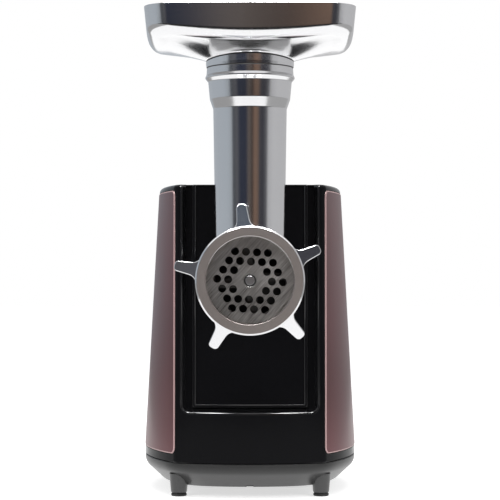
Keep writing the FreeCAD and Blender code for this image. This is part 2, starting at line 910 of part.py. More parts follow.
def ring_nut():
    """Ring with an inner lip over the plate and five gripping wings."""
    part = new_body("ring_nut", BARREL, ALONG_Y)
    revolve(part, [("ring_lip", "ring_front"), ("ring_face", "ring_front"),
                   ("ring_radius", "ring_front + ring_radius - ring_face"), ("ring_radius", "ring_back"),
                   ("ring_thread", "ring_back"), ("ring_thread", "ring_lip_back"),
                   ("ring_lip", "ring_lip_back")])
    drawing = new_sketch(part, offset="ring_front + wing_set", turn=-size("wing_first"))
    rectangle(drawing, ("ring_thread + root_depth", "-wing_half"), ("wing_reach", "wing_half"))
    repeat(part, extrude(part, drawing, "wing_length"), WING_COUNT)
    reach = size("wing_reach")
    skin = size("ring_radius")
    round_edges(part, "wing_round", lambda edge: upright_edge(edge) and out_from_axis(edge) > reach)
    round_edges(part, "wing_root",
                lambda edge: upright_edge(edge) and abs(out_from_axis(edge) - skin) < NEAR)
    keep(part, "ring_nut")


def worm_flight():
    """Helical flight swept round the worm's core."""
    path = doc.addObject("Part::Helix", "flight_path")
    bind(path, "Pitch", "flight_pitch")
    bind(path, "Height", "flight_length")
    bind(path, "Radius", "core_back_radius")
    place(path, ("0", "flight_front", "barrel_z"), ALONG_Y)
    section = doc.addObject("Sketcher::SketchObject", "flight_section")
    place(section, ("0", "0", "barrel_z"))
    polygon(section, [("flight_root", "flight_front - flight_root_half"),
                      ("flight_radius", "flight_front - flight_tip_half"),
                      ("flight_radius", "flight_front + flight_tip_half"),
                      ("flight_root", "flight_front + flight_root_half")])
    flight = doc.addObject("Part::Sweep", "flight")
    flight.Sections = [section]
    flight.Spine = (path, [])
    flight.Solid = True
    flight.Frenet = True
    return flight


def worm():
    """Feed worm: pin, square for the knife, tapered core with its flight, journal and tail."""
    core = new_body("worm_core", BARREL, ALONG_Y)
    revolve(core, [("0", "plate_front"), ("pin_radius - pin_bevel", "plate_front"),
                   ("pin_radius", "plate_front + pin_bevel"), ("pin_radius", "core_front"),
                   ("core_front_radius", "core_front"), ("core_back_radius", "thrust_front - core_flare"),
                   ("thrust_radius", "thrust_front"), ("thrust_radius", "thrust_back"),
                   ("journal_radius", "thrust_back"), ("journal_radius", "journal_back"),
                   ("0", "journal_back")])
    square = box("worm_square", ("-square_half", "square_front", "barrel_z - square_half"),
                 ("square_half", "core_front", "barrel_z + square_half"))
    tail = doc.addObject("Part::Prism", "worm_tail")
    tail.Polygon = 6
    bind(tail, "Circumradius", "tail_radius")
    bind(tail, "Height", "tail_back - journal_back")
    place(tail, ("0", "journal_back", "barrel_z"), ALONG_Y)
    keep(fuse("worm", core, square, tail, worm_flight()), "worm")


def tray_block(name, inset):
    """Drafted block with rounded corners and bottom, drawn in from the tray's outside."""
    part = new_body(name)
    half = (f"tray_half_width - {inset}", f"tray_half_length - {inset}")
    rim = rectangle(new_sketch(part, offset="tray_rim"), (f"-({half[0]})", f"-({half[1]})"), half)
    pan = extrude(part, rim, f"tray_rim - tray_bottom - {inset}", back=True)
    bind(pan, "TaperAngle", "-tray_draft")
    floor_level = size(f"tray_bottom + {inset}")
    round_edges(part, f"tray_corner - {inset}", lambda edge: edge.BoundBox.ZLength > NEAR)
    round_edges(part, f"tray_bottom_round - {inset}", lambda edge: level(edge, floor_level))
    return part


def tray():
    """Pressed tray with drafted walls, a floor falling to a round neck and a spout in the throat."""
    floor = "tray_bottom + tray_sheet"
    neck = new_body("tray_neck_body")
    revolve(neck, [("0", "spout_bottom"), ("spout_outer", "spout_bottom"), ("spout_outer", "mouth_top"),
                   ("tray_neck", "mouth_top"), ("tray_neck", "flare_bottom"),
                   ("tray_flare", "tray_bottom"), ("tray_flare", floor), ("0", floor)])
    drain = new_body("tray_drain")
    revolve(drain, [("0", "spout_bottom"), ("spout_inner", "spout_bottom"),
                    ("spout_inner", "mouth_top + tray_sheet"),
                    ("tray_neck - tray_sheet", "flare_bottom + tray_sheet"),
                    ("tray_flare - tray_sheet", floor), ("0", floor)])
    blank = fuse("tray_blank", tray_block("tray_outside", "0"), neck)
    keep(cut("tray", blank, tray_block("tray_inside", "tray_sheet"), drain), "tray")


# Gear train

BLIND_END = "(box_back + box_cover - blind_floor)"


def tooth_half_angle(radius, teeth, module):
    """Half the angle that an involute tooth takes up at a radius."""
    pressure = math.radians(size("gear_pressure"))
    pitch_radius = teeth * module / 2
    base_radius = pitch_radius * math.cos(pressure)
    lean = math.acos(min(1.0, base_radius / max(radius, base_radius)))
    half_pitch = math.pi / (2 * teeth) - size("gear_backlash") / (2 * pitch_radius)
    return half_pitch + (math.tan(pressure) - pressure) - (math.tan(lean) - lean)


def gear_solid(teeth, module, front, back, phase):
    """Spur gear about the Z axis with the middle of one tooth at an angle."""
    pitch_radius = teeth * module / 2
    root = pitch_radius - size("gear_dedendum") * module
    tip = pitch_radius + size("gear_addendum") * module
    flank = [(radius, tooth_half_angle(radius, teeth, module)) for radius in (root, pitch_radius, tip)]
    outline = [(radius, -angle) for radius, angle in flank] + list(reversed(flank))
    corners = []
    for tooth in range(teeth):
        middle = phase + 2 * math.pi * tooth / teeth
        for radius, angle in outline:
            across = radius * math.cos(middle + angle)
            corners.append(Vector(across, radius * math.sin(middle + angle), front))
    face = Part.Face(Part.makePolygon(corners + corners[:1]))
    return face.extrude(Vector(0, 0, back - front))


def mesh_phase(teeth, partner_teeth, partner_phase, heading):
    """Phase that puts a gear's tooth into a gap of its partner, which lies against the heading."""
    partner_share = (heading - partner_phase) * partner_teeth / (2 * math.pi)
    own_share = 0.5 - partner_share
    return heading + math.pi - own_share * 2 * math.pi / teeth


def axle_places():
    """Work out where the two axles stand, so that all three stages are in mesh."""
    slack = size("gear_slack")
    first = size("(motor_teeth + first_teeth)*first_module/2") + slack
    second = size("(pinion_teeth + second_teeth)*second_module/2") + slack
    output = size("(pinion_teeth + output_teeth)*output_module/2") + slack
    motor = Vector(0, size("barrel_z - motor_z"), 0)
    across = size("axle_two_x")
    axle_two = Vector(across, math.sqrt(output ** 2 - across ** 2), 0)
    axle_one = min(meet(axle_two, second, motor, first), key=lambda spot: spot.x)
    return motor, axle_one, axle_two


def gear_part(label, shape, spot):
    gear = doc.addObject("Part::Feature", label)
    gear.Shape = shape
    gear.Placement = Placement(Vector(spot.x, size("throat_y"), size("barrel_z") - spot.y), ALONG_Y)
    return keep(gear, label)


def heading(start, end):
    return math.atan2(end.y - start.y, end.x - start.x)


def bored(shape, radius, front, back):
    return shape.cut(Part.makeCylinder(radius, back - front, Vector(0, 0, front)))


def gear_train(motor, axle_one, axle_two):
    """Motor pinion, two double gears and the output gear, all in mesh at rest."""
    wheels = ("motor", "first", "pinion", "second", "output")
    teeth = {name: int(size(f"{name}_teeth")) for name in wheels}
    first_module = size("first_module")
    second_module = size("second_module")
    output_module = size("output_module")
    first = (size("first_front"), size("first_back"))
    second = (size("second_front"), size("second_back"))
    output = (size("output_front"), size("output_back"))
    loose = size("axle_radius + running_fit")

    first_phase = mesh_phase(teeth["first"], teeth["motor"], 0, heading(motor, axle_one))
    wheel = gear_solid(teeth["first"], first_module, *first, first_phase)
    pinion = gear_solid(teeth["pinion"], second_module, second[0], first[0], 0)
    gear_part("first_gear", bored(wheel.fuse(pinion), loose, second[0], first[1]), axle_one)

    second_phase = mesh_phase(teeth["second"], teeth["pinion"], 0, heading(axle_one, axle_two))
    wheel = gear_solid(teeth["second"], second_module, *second, second_phase)
    pinion = gear_solid(teeth["pinion"], output_module, output[0], second[0], 0)
    gear_part("second_gear", bored(wheel.fuse(pinion), loose, output[0], second[1]), axle_two)

    output_phase = mesh_phase(teeth["output"], teeth["pinion"], 0, heading(axle_two, Vector()))
    wheel = gear_solid(teeth["output"], output_module, *output, output_phase)
    gear_part("output_gear", bored(wheel, size("output_shaft"), *output), Vector())

    pinion = gear_solid(teeth["motor"], first_module, *first, 0)
    bar = Part.makeCylinder(size("shaft_radius"), size("shaft_back") - first[1], Vector(0, 0, first[1]))
    gear_part("armature_shaft", pinion.fuse(bar), motor)


def axles():
    """Fixed pins that carry the two double gears between the gearbox walls."""
    for count in ("one", "two"):
        pin = cylinder("axle", "axle_radius", "box_front + blind_floor", BLIND_END,
                       (f"axle_{count}_x", f"axle_{count}_z"))
        keep(pin, f"gear_axle_{count}")


def drive_coupling():
    """Output shaft with a hexagonal socket for the worm's tail."""
    part = new_body("coupling_blank", BARREL, ALONG_Y)
    revolve(part, [("0", "coupling_front"), ("coupling_radius", "coupling_front"),
                   ("coupling_radius", "coupling_back"), ("output_shaft", "coupling_back"),
                   ("output_shaft", BLIND_END), ("0", BLIND_END)])
    socket = doc.addObject("Part::Prism", "coupling_socket")
    socket.Polygon = 6
    bind(socket, "Circumradius", "tail_radius + square_room")
    bind(socket, "Height", "coupling_deep")
    place(socket, ("0", "coupling_front", "barrel_z"), ALONG_Y)
    keep(cut("drive_coupling", part, socket), "drive_coupling")


# Gearbox

def below_barrel(height):
    return f"(barrel_z - {height})"


def box_corners(inset):
    low = (f"-(box_half - {inset})", below_barrel(f"(box_top - {inset})"))
    high = (f"box_half - {inset}", below_barrel(f"(box_bottom + {inset})"))
    return low, high


def axle_holes(part, start, length):
    drawing = new_sketch(part, offset=start)
    for count in ("one", "two"):
        circle(drawing, "axle_radius", (f"axle_{count}_x", below_barrel(f"axle_{count}_z")))
    extrude(part, drawing, length, "Pocket", back=True)


def screw_places():
    low, high = box_corners("box_screw_set")
    return [(x, y) for x in (low[0], high[0]) for y in (low[1], high[1])]


def gearbox_front():
    """Gearbox tub with the bayonet socket of the head on its front."""
    part = new_body("gearbox_front", BARREL, ALONG_Y)
    tub = rectangle(new_sketch(part, offset="box_front"), *box_corners("0"))
    extrude(part, tub, "box_back - box_front")
    round_edges(part, "box_round", upright_edge)
    hollow = rectangle(new_sketch(part, offset="box_front + box_wall"), *box_corners("box_wall"))
    extrude(part, hollow, "box_back - box_front - box_wall", "Pocket", back=True)
    inner = size("box_half - box_wall")
    round_edges(part, "box_inner_round", lambda edge: upright_edge(edge)
                and abs(abs(edge.Vertexes[0].X) - inner) < NEAR)
    revolve(part, [("0", "socket_front"), ("socket_radius", "socket_front"),
                   ("socket_radius", "frame_depth + flange_thick"),
                   ("socket_flange", "frame_depth + flange_thick"), ("socket_flange", "socket_flange_back"),
                   ("socket_radius", "socket_flange_back"), ("socket_radius", "box_front"),
                   ("0", "box_front")])
    revolve(part, [("0", "socket_front"), ("socket_bore", "socket_front"),
                   ("socket_bore", "lug_front - lug_room"), ("socket_room", "lug_front - lug_room"),
                   ("socket_room", "lug_back + lug_room"), ("socket_bore", "lug_back + lug_room"),
                   ("socket_bore", "socket_floor"),
                   ("coupling_bush", "socket_floor"), ("coupling_bush", "box_front + box_wall"),
                   ("0", "box_front + box_wall")], kind="Groove")
    inner = "socket_bore - root_depth"
    slot = revolve(part, [(inner, "socket_front"), ("socket_room", "socket_front"),
                          ("socket_room", "lug_front"), (inner, "lug_front")],
                   kind="Groove", angle="lug_angle + slot_ease")
    slot.Profile[0].AttachmentOffset = Placement(Vector(), Rotation(Vector(0, 1, 0), size("twist")))
    repeat(part, slot, LUG_COUNT)
    axle_holes(part, "box_front + blind_floor", "box_wall - blind_floor")
    drawing = new_sketch(part, offset="box_back - box_screw_hole")
    for at in screw_places():
        circle(drawing, "screw_radius", at)
    extrude(part, drawing, "box_screw_hole", "Pocket", back=True)
    keep(part, "gearbox_front")


def gearbox_rear():
    """Cover of the gearbox, which also holds the motor's front bearing."""
    part = new_body("gearbox_rear", BARREL, ALONG_Y)
    plate = rectangle(new_sketch(part, offset="box_back"), *box_corners("0"))
    extrude(part, plate, "box_cover")
    round_edges(part, "box_round", upright_edge)
    motor = ("0", below_barrel("motor_z"))
    boss = circle(new_sketch(part, offset="box_back"), "bearing_boss", motor)
    extrude(part, boss, "front_bearing_back - box_back")
    bore = circle(new_sketch(part, offset="box_back"), "bearing_radius", motor)
    extrude(part, bore, "front_bearing_back - box_back", "Pocket", back=True)
    axle_holes(part, "box_back", "box_cover - blind_floor")
    drawing = circle(new_sketch(part, offset="box_back"), "output_shaft + running_fit")
    extrude(part, drawing, "box_cover - blind_floor", "Pocket", back=True)
    drawing = new_sketch(part, offset="box_back")
    for at in screw_places():
        circle(drawing, "screw_radius", at)
    for side in SIDES:
        circle(drawing, "bolt_radius", (f"{side}*bolt_x", below_barrel("motor_z")))
    extrude(part, drawing, "box_cover", "Pocket", back=True)
    keep(part, "gearbox_rear")


def gearbox_screws():
    screws = []
    seat = "box_back + box_cover"
    for x, y in screw_places():
        at = (x, f"barrel_z - ({y})")
        shank = cylinder("shank", "screw_radius - running_fit", "box_back - box_screw_length", seat, at)
        head = cylinder("head", "screw_head", seat, f"{seat} + screw_head_thick", at)
        screws.append(fuse("gearbox_screw", shank, head))
    keep(group("gearbox_screws", *screws), "gearbox_screws")


# Motor

def motor_bearings():
    """Bearings of the motor shaft in the gearbox cover and in the rear bracket."""
    ends = (("box_back", "front_bearing_back"), ("bracket_boss_front", "bracket_boss_back"))
    ring_pair("motor_bearings", "shaft_radius + running_fit", "bearing_radius", ends)


def motor_stator():
    """Laminated stator with a round bore and two bolt holes."""
    part = new_body("motor_stator", MOTOR, ALONG_Y)
    block = rectangle(new_sketch(part, offset="stator_front"), ("-stator_half", "-stator_height_half"),
                      ("stator_half", "stator_height_half"))
    extrude(part, block, "stator_back - stator_front")
    round_edges(part, "stator_round", upright_edge)
    holes = circle(new_sketch(part, offset="stator_front"), "stator_bore")
    for side in SIDES:
        circle(holes, "bolt_radius + running_fit", (f"{side}*bolt_x", "0"))
    extrude(part, holes, "stator_back - stator_front", "Pocket", back=True)
    keep(part, "motor_stator")


def ring_pair(label, inner, outer, ends):
    """Two rings about the motor's axis."""
    rings = []
    for front, back in ends:
        body = cylinder("ring_body", outer, front, back, ("0", "motor_z"))
        bore = cylinder("ring_bore", inner, front, back, ("0", "motor_z"))
        rings.append(cut("ring", body, bore))
    keep(group(label, *rings), label)


def coil_ends():
    return (("stator_front - coil_over", "stator_front"), ("stator_back", "stator_back + coil_over"))


def armature_core():
    """Slotted armature core on the shaft."""
    part = new_body("armature_core", MOTOR, ALONG_Y)
    disc = circle(circle(new_sketch(part, offset="stator_front"), "core_radius"), "shaft_radius")
    extrude(part, disc, "stator_back - stator_front")
    slot = rectangle(new_sketch(part, offset="stator_front"), ("core_radius - slot_deep", "-slot_half"),
                     ("core_radius + root_depth", "slot_half"))
    repeat(part, extrude(part, slot, "stator_back - stator_front", "Pocket", back=True), "core_slots")
    keep(part, "armature_core")


def cooling_fan():
    """Fan disc with straight blades behind the gearbox."""
    part = new_body("cooling_fan", MOTOR, ALONG_Y)
    revolve(part, [("shaft_radius", "fan_front"), ("fan_radius", "fan_front"),
                   ("fan_radius", "fan_front + fan_disc"), ("fan_hub", "fan_front + fan_disc"),
                   ("fan_hub", "fan_back"), ("shaft_radius", "fan_back")])
    blade = rectangle(new_sketch(part, offset="fan_front + fan_disc"),
                      ("fan_hub - root_depth", "-fan_disc/2"), ("fan_radius - root_depth", "fan_disc/2"))
    repeat(part, extrude(part, blade, "fan_back - fan_front - fan_disc"), "fan_blades")
    keep(part, "cooling_fan")


def rear_bracket():
    """Bar across the back of the motor with the rear bearing's boss."""
    bar = box("bracket_bar", ("-bracket_half", "bracket_front", "motor_z - bracket_height_half"),
              ("bracket_half", "bracket_back", "motor_z + bracket_height_half"))
    middle = ("0", "motor_z")
    boss = cylinder("bracket_boss", "bearing_boss", "bracket_boss_front", "bracket_boss_back", middle)
    bore = cylinder("bracket_bore", "bearing_radius", "bracket_boss_front", "bracket_boss_back", middle)
    tools = [bore]
    for side in SIDES:
        tools.append(cylinder("bracket_hole", "bolt_radius + running_fit", "bracket_front", "bracket_back",
                              (f"{side}*bolt_x", "motor_z")))
    keep(cut("rear_bracket", fuse("bracket_blank", bar, boss), *tools), "rear_bracket")


def motor_bolts():
    """Two long bolts that hold the bracket and the stator to the gearbox."""
    bolts = []
    for side in SIDES:
        at = (f"{side}*bolt_x", "motor_z")
        shank = cylinder("bolt_shank", "bolt_radius - running_fit", "box_back + blind_floor",
                         "bracket_back", at)
        head = cylinder("bolt_head", "bolt_head", "bracket_back", "bracket_back + bolt_head_thick", at)
        bolts.append(fuse("bolt", shank, head))
    keep(group("motor_bolts", *bolts), "motor_bolts")


def brushes():
    """Carbon brushes in holders that stand on the rear bracket."""
    holders = []
    carbons = []
    room = "running_fit"
    for side in SIDES:
        ends = sorted((f"{side}*holder_inner", f"{side}*holder_outer"), key=size)
        block = box("holder_block", (ends[0], "holder_front", "motor_z - holder_half"),
                    (ends[1], "bracket_front", "motor_z + holder_half"))
        guide = box("holder_guide", (ends[0], f"brush_front - {room}", f"motor_z - brush_half - {room}"),
                    (ends[1], f"brush_back + {room}", f"motor_z + brush_half + {room}"))
        holders.append(cut("holder", block, guide))
        ends = sorted((f"{side}*(commutator_radius + running_fit)", f"{side}*brush_outer"), key=size)
        carbons.append(box("brush", (ends[0], "brush_front", "motor_z - brush_half"),
                           (ends[1], "brush_back", "motor_z + brush_half")))
    keep(group("brush_holders", *holders), "brush_holders")
    keep(group("carbon_brushes", *carbons), "carbon_brushes")


def motor_mounts():
    """Rubber blocks between the base pan's ribs and the stator."""
    blocks = [box("mount", (f"{side}*mount_x - mount_half", "mount_front", "mount_bottom"),
                  (f"{side}*mount_x + mount_half", "mount_back", "motor_z - stator_height_half"))
              for side in SIDES]
    keep(group("motor_mounts", *blocks), "motor_mounts")


# Switch and cord gland

def switch():
    """Rocker switch in a recessed bezel of the back."""
    floor = "body_back - bezel_recess"
    height = ("switch_z - switch_half_height", "switch_z + switch_half_height")
    block = box("switch_block", ("-switch_half_width", f"{floor} - switch_depth", height[0]),
                ("switch_half_width", floor, height[1]))
    half = "(rocker_half_width + rocker_side_room)"
    rise = "(rocker_half_height + rocker_room)"
    room = box("rocker_room", (f"-{half}", "pivot_depth - rocker_depth", f"switch_z - {rise}"),
               (half, floor, f"switch_z + {rise}"))
    pivot = cylinder("pivot_hole", "pivot_radius + running_fit", "-pivot_half", "pivot_half",
                     ("pivot_depth", "switch_z"), "x")
    keep(cut("switch_body", block, room, pivot), "switch_body")
    frame = box("bezel_frame", ("-bezel_half_width", floor, "switch_z - bezel_half_height"),
                ("bezel_half_width", f"{floor} + bezel_thick", "switch_z + bezel_half_height"))
    window = box("bezel_window", (f"-{half}", floor, f"switch_z - {rise}"),
                 (half, f"{floor} + bezel_thick", f"switch_z + {rise}"))
    keep(cut("switch_bezel", frame, window), "switch_bezel")


def rocker_button():
    """Rocker with a dished face, turning on two short pins."""
    part = new_body("rocker_blank")
    drawing = polygon(new_sketch(part, "YZ_Plane"), [
        ("body_back", "switch_z - rocker_half_height"), ("body_back - rocker_dip", "switch_z"),
        ("body_back", "switch_z + rocker_half_height"),
        ("pivot_depth", "switch_z + rocker_half_height - rocker_lean"),
        ("pivot_depth - rocker_depth/2", "switch_z + rocker_heel"),
        ("pivot_depth - rocker_depth/2", "switch_z - rocker_heel"),
        ("pivot_depth", "switch_z - rocker_half_height + rocker_lean")])
    pad = extrude(part, drawing, "2*rocker_half_width")
    pad.SideType = "Symmetric"
    pins = cylinder("rocker_pins", "pivot_radius", "-pivot_half + pivot_room", "pivot_half - pivot_room",
                    ("pivot_depth", "switch_z"), "x")
    keep(fuse("rocker_button", part, pins), "rocker_button")


def cord_gland():
    """Plain bushing of the mains inlet at the foot of the back."""
    curve = "(front_radius - wall - sqrt((front_radius - wall)^2 - gland_flange^2))"
    seat = f"(body_back - wall - {curve} - running_fit)"
    outside = "gland_radius - running_fit"
    turned_part("cord_gland", [("gland_bore", f"{seat} - gland_thick"),
                               ("gland_flange", f"{seat} - gland_thick"), ("gland_flange", seat),
                               (outside, seat), (outside, "gland_end"), ("gland_bore", "gland_end")],
                ("0", "0", "gland_z"))


# The whole grinder

def build():
    store(DIMENSIONS)
    motor, axle_one, axle_two = axle_places()
    axle_dimensions = {
        "axle_one_x": axle_one.x,
        "axle_one_z": size("barrel_z") - axle_one.y,
        "axle_two_z": size("barrel_z") - axle_two.y,
    }
    store(axle_dimensions, len(DIMENSIONS) + 1)

    housing()
    front_panel()
    base_pan()
    foot_pads()
    base_screws()
    grinder_head()
    feed_throat()
    head_bush()
    worm()
    cutter_knife()
    cutting_plate()
    ring_nut()
    tray()
    gearbox_front()
    gearbox_rear()
    gearbox_screws()
    axles()
    gear_train(motor, axle_one, axle_two)
    drive_coupling()
    tube("output_bush", "coupling_radius + running_fit", "coupling_bush", "socket_floor",
         "box_front + box_wall")
    motor_bearings()
    motor_stator()
    ring_pair("field_coils", "coil_inner", "coil_outer", coil_ends())
    armature_core()
    ring_pair("armature_winding", "winding_inner", "winding_outer", coil_ends())
    tube("commutator", "shaft_radius", "commutator_radius", "commutator_front", "commutator_back", MOTOR)
    cooling_fan()
    rear_bracket()
    motor_bolts()
    brushes()
    motor_mounts()
    switch()
    rocker_button()
    cord_gland()
    doc.recompute()


def check():
    """Stop on any object that failed and on any sub-part without a sound solid."""
    failed = [item.Label for item in doc.Objects if {"Invalid", "Error"} & set(item.State)]
    if failed:
        raise RuntimeError(f"objects failed: {failed}")
    for item in nodes:
        if item.Shape.isNull() or not item.Shape.isValid() or not item.Shape.Solids:
            raise RuntimeError(f"no sound solid: {item.Label}")


def export():
    os.makedirs("parts", exist_ok=True)
    for item in nodes:
        item.Shape.exportStep(f"parts/{item.Label}.step")


build()
check()
export()
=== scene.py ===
import json
import math

import bmesh
import bpy
from mathutils import Matrix, Vector


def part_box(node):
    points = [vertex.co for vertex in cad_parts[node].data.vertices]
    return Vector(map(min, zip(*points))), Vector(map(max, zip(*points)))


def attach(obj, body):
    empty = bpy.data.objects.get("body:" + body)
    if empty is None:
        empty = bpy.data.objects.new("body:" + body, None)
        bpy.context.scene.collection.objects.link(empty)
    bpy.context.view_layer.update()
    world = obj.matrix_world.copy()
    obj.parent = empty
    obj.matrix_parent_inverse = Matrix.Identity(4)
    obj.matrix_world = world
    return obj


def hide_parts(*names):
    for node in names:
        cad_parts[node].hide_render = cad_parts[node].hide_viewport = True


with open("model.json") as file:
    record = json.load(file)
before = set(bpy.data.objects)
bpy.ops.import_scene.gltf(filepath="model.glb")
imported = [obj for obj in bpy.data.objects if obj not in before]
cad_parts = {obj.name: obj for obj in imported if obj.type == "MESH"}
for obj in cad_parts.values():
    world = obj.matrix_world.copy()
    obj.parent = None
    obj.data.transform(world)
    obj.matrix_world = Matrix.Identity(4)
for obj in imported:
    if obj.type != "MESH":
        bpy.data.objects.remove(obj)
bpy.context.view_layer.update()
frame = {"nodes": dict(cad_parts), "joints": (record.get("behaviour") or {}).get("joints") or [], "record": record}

bl_info = {
    "name": "Electric Meat Grinder",
    "version": (1, 0, 0),
    "blender": (4, 5, 0),
    "location": "3D View > Sidebar > Grinder",
    "description": "Dresses the solid model of an upright electric meat grinder",
    "category": "Add Mesh",
}

JOINTS = {joint["name"]: joint for joint in frame["joints"]}
TRAY_LOW, TRAY_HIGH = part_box("tray")
THROAT_Y = (TRAY_LOW.y + TRAY_HIGH.y) / 2
BARREL_Z = JOINTS["output_spin"]["pos_m"][2]
TURN = 2 * math.pi
RIGHT = math.pi / 2

# Joints in metres: joined pieces overlap, fitted ones keep a gap, points that meet are welded
OVERLAP = 0.0001
FIT = 0.00002
WELD = 1e-7

# Shares of a face's normal: along the axis if flat, hardly along it if upright, towards the axis inside
FLAT = 0.99
UPRIGHT = 0.05
INSIDE = 0.5

# Numbers of steps in round stretches and of sides in round pieces
FRONT_STEPS, CORNER_STEPS, SIDE_STEPS = 14, 5, 18
SIDE_LEVELS, TOP_STEPS, EDGE_STEPS, BEAD_STEPS = 12, 7, 6, 8
PANEL_COLUMNS, PANEL_ROWS, PANEL_EDGE_STEPS = 40, 44, 5
RECESS_CORNER_STEPS, RECESS_RUN = 9, 14
WING_STEPS, BETWEEN_WINGS = 12, 8
TRAY_CORNER_STEPS, TRAY_SIDE_STEPS = 14, 12
TURNED_SIDES, RING_SIDES, FOOT_SIDES, BORE_SIDES, HOLE_SIDES = 128, 160, 64, 48, 32
THREAD_STEPS, THREAD_SIDES, SLOT_STEPS = 72, 10, 8

# Shares of the way at which points are set: down the recess's sides and up the tray's floor
RECESS_DROP = (0, 0.004, 0.008, 0.012, 0.016, 0.02, 0.1)
TRAY_FALL = (0.02, 0.05, 0.1, 0.17, 0.26, 0.36, 0.48, 0.6, 0.72, 0.84, 0.93)


# Properties

def length(name, description, millimetres):
    return bpy.props.FloatProperty(name=name, description=description, default=millimetres / 1000,
                                   unit="LENGTH", precision=4)


def angle(name, description, degrees):
    return bpy.props.FloatProperty(name=name, description=description, default=math.radians(degrees),
                                   subtype="ANGLE")


def colour(name, description, shade):
    return bpy.props.FloatVectorProperty(name=name, description=description, default=shade, size=3,
                                         subtype="COLOR", min=0, max=1)


def number(name, description, value):
    return bpy.props.FloatProperty(name=name, description=description, default=value)


def tally(name, description, value):
    return bpy.props.IntProperty(name=name, description=description, default=value)


class HousingSizes(bpy.types.PropertyGroup):
    front: length("Front", "Depth of the front behind the throat's axis", 32)
    back: length("Back", "Depth of the back behind the throat's axis", 217)
    top: length("Top", "Height of the housing's top", 221)
    seam: length("Seam", "Height of the seam over the base", 25)
    corner_half: length("Corner", "Distance of the plan's corners from the middle", 53)
    front_radius: length("Front radius", "Radius of the bowed front and back", 135)
    base_half: length("Lower half width", "Half of the width at the seam", 78.3)
    top_half: length("Upper half width", "Half of the width at the top", 67.3)
    wall: length("Wall", "Thickness of the walls", 2.5)
    top_round: length("Top edge", "Radius of the edge round the top", 3)
    corner_round: length("Corner radius", "Radius of the upright corners", 7)
    groove: length("Groove", "Bevel along the seam over the base", 0.7)


class BackSizes(bpy.types.PropertyGroup):
    vent_half: length("Vent half width", "Half of the vents' width", 22)
    vent_height: length("Vent height", "Height of each vent", 3)
    vent_pitch: length("Vent pitch", "Distance from vent to vent", 7)
    vent_bottom: length("Lowest vent", "Height of the lowest vent", 57.5)
    vent_count: tally("Vents", "Number of vents", 5)
    vent_cut: length("Vent cut", "Length of the tool for the vents", 30)
    gland_hole: length("Gland hole", "Radius of the hole for the cord gland", 6)
    gland_cut: length("Gland cut", "Depth of the gland's hole", 12)
    switch_room: length("Switch room", "Gap round the switch's bezel", 0.3)
    tool_over: length("Tool over", "How far the cutting tools stand out behind the back", 10)


class PanelSizes(bpy.types.PropertyGroup):
    bottom: length("Bottom", "Height of the side panels' lower edge", 31)
    top: length("Top", "Height of the side panels' upper edge", 217)
    corner: length("Corner", "Radius of the side panels' corners", 4.6)
    thick: length("Thickness", "Depth of the side panels in the housing", 1.6)
    proud: length("Proud", "Height of the side panels over the housing", 0.4)
    edge: length("Edge", "Radius of the side panels' edges", 0.9)
    gap: length("Gap", "Gap round the side panels", 0.25)
    corner_least: length("Least corner", "Smallest radius of a drawn-in corner", 0.2)
    pocket_over: length("Pocket over", "How far the pockets' tools stand out of the housing", 2)


class RecessSizes(bpy.types.PropertyGroup):
    half: length("Half width", "Half of the recess's width", 47.5)
    bottom: length("Bottom", "Height of the recess's lower edge", 61.1)
    corner: length("Corner", "Radius of the recess's lower corners", 5)
    lip: length("Lip", "Radius of the recess's outer edge", 1.5)
    border: length("Border", "Width of the rim on the housing", 1.8)
    rim_depth: length("Rim depth", "Depth of the rim's edge in the housing", 1.2)
    rim_proud: length("Rim proud", "Height of the rim over the housing", 0.05)
    bevel: length("Bevel", "Width of the sloping inner side", 2.2)
    bevel_depth: length("Bevel depth", "Depth at which the inner side starts to slope", 41.5)
    floor_depth: length("Floor depth", "Depth of the recess's floor", 46)
    plate_half: length("Plate half width", "Half of the raised plate's width", 40.7)
    plate_bottom: length("Plate bottom", "Height of the raised plate's lower edge", 63.4)
    plate_depth: length("Plate depth", "Depth of the raised plate's face", 44)
    plate_edge: length("Plate edge", "Radius of the raised plate's edges", 0.8)
    plate_corner: length("Plate corner", "Radius of the raised plate's lower corners", 1.6)
    corner_least: length("Least corner", "Smallest radius of a drawn-in corner", 0.4)
    bead: length("Bead", "Width of the raised plate's border", 0.6)
    bead_round: length("Bead radius", "Radius of the border's inner edge", 1.4)
    bead_sweep: angle("Bead sweep", "Angle over which the border's inner edge bends", 78)
    flange_half: length("Flange half width", "Half of the flange's width behind the recess", 46.5)
    flange_bottom: length("Flange bottom", "Height of the flange's lower edge", 63)
    flange_back: length("Flange back", "Depth of the flange's back", 48.5)
    socket: length("Socket", "Radius of the hole for the head", 31.05)


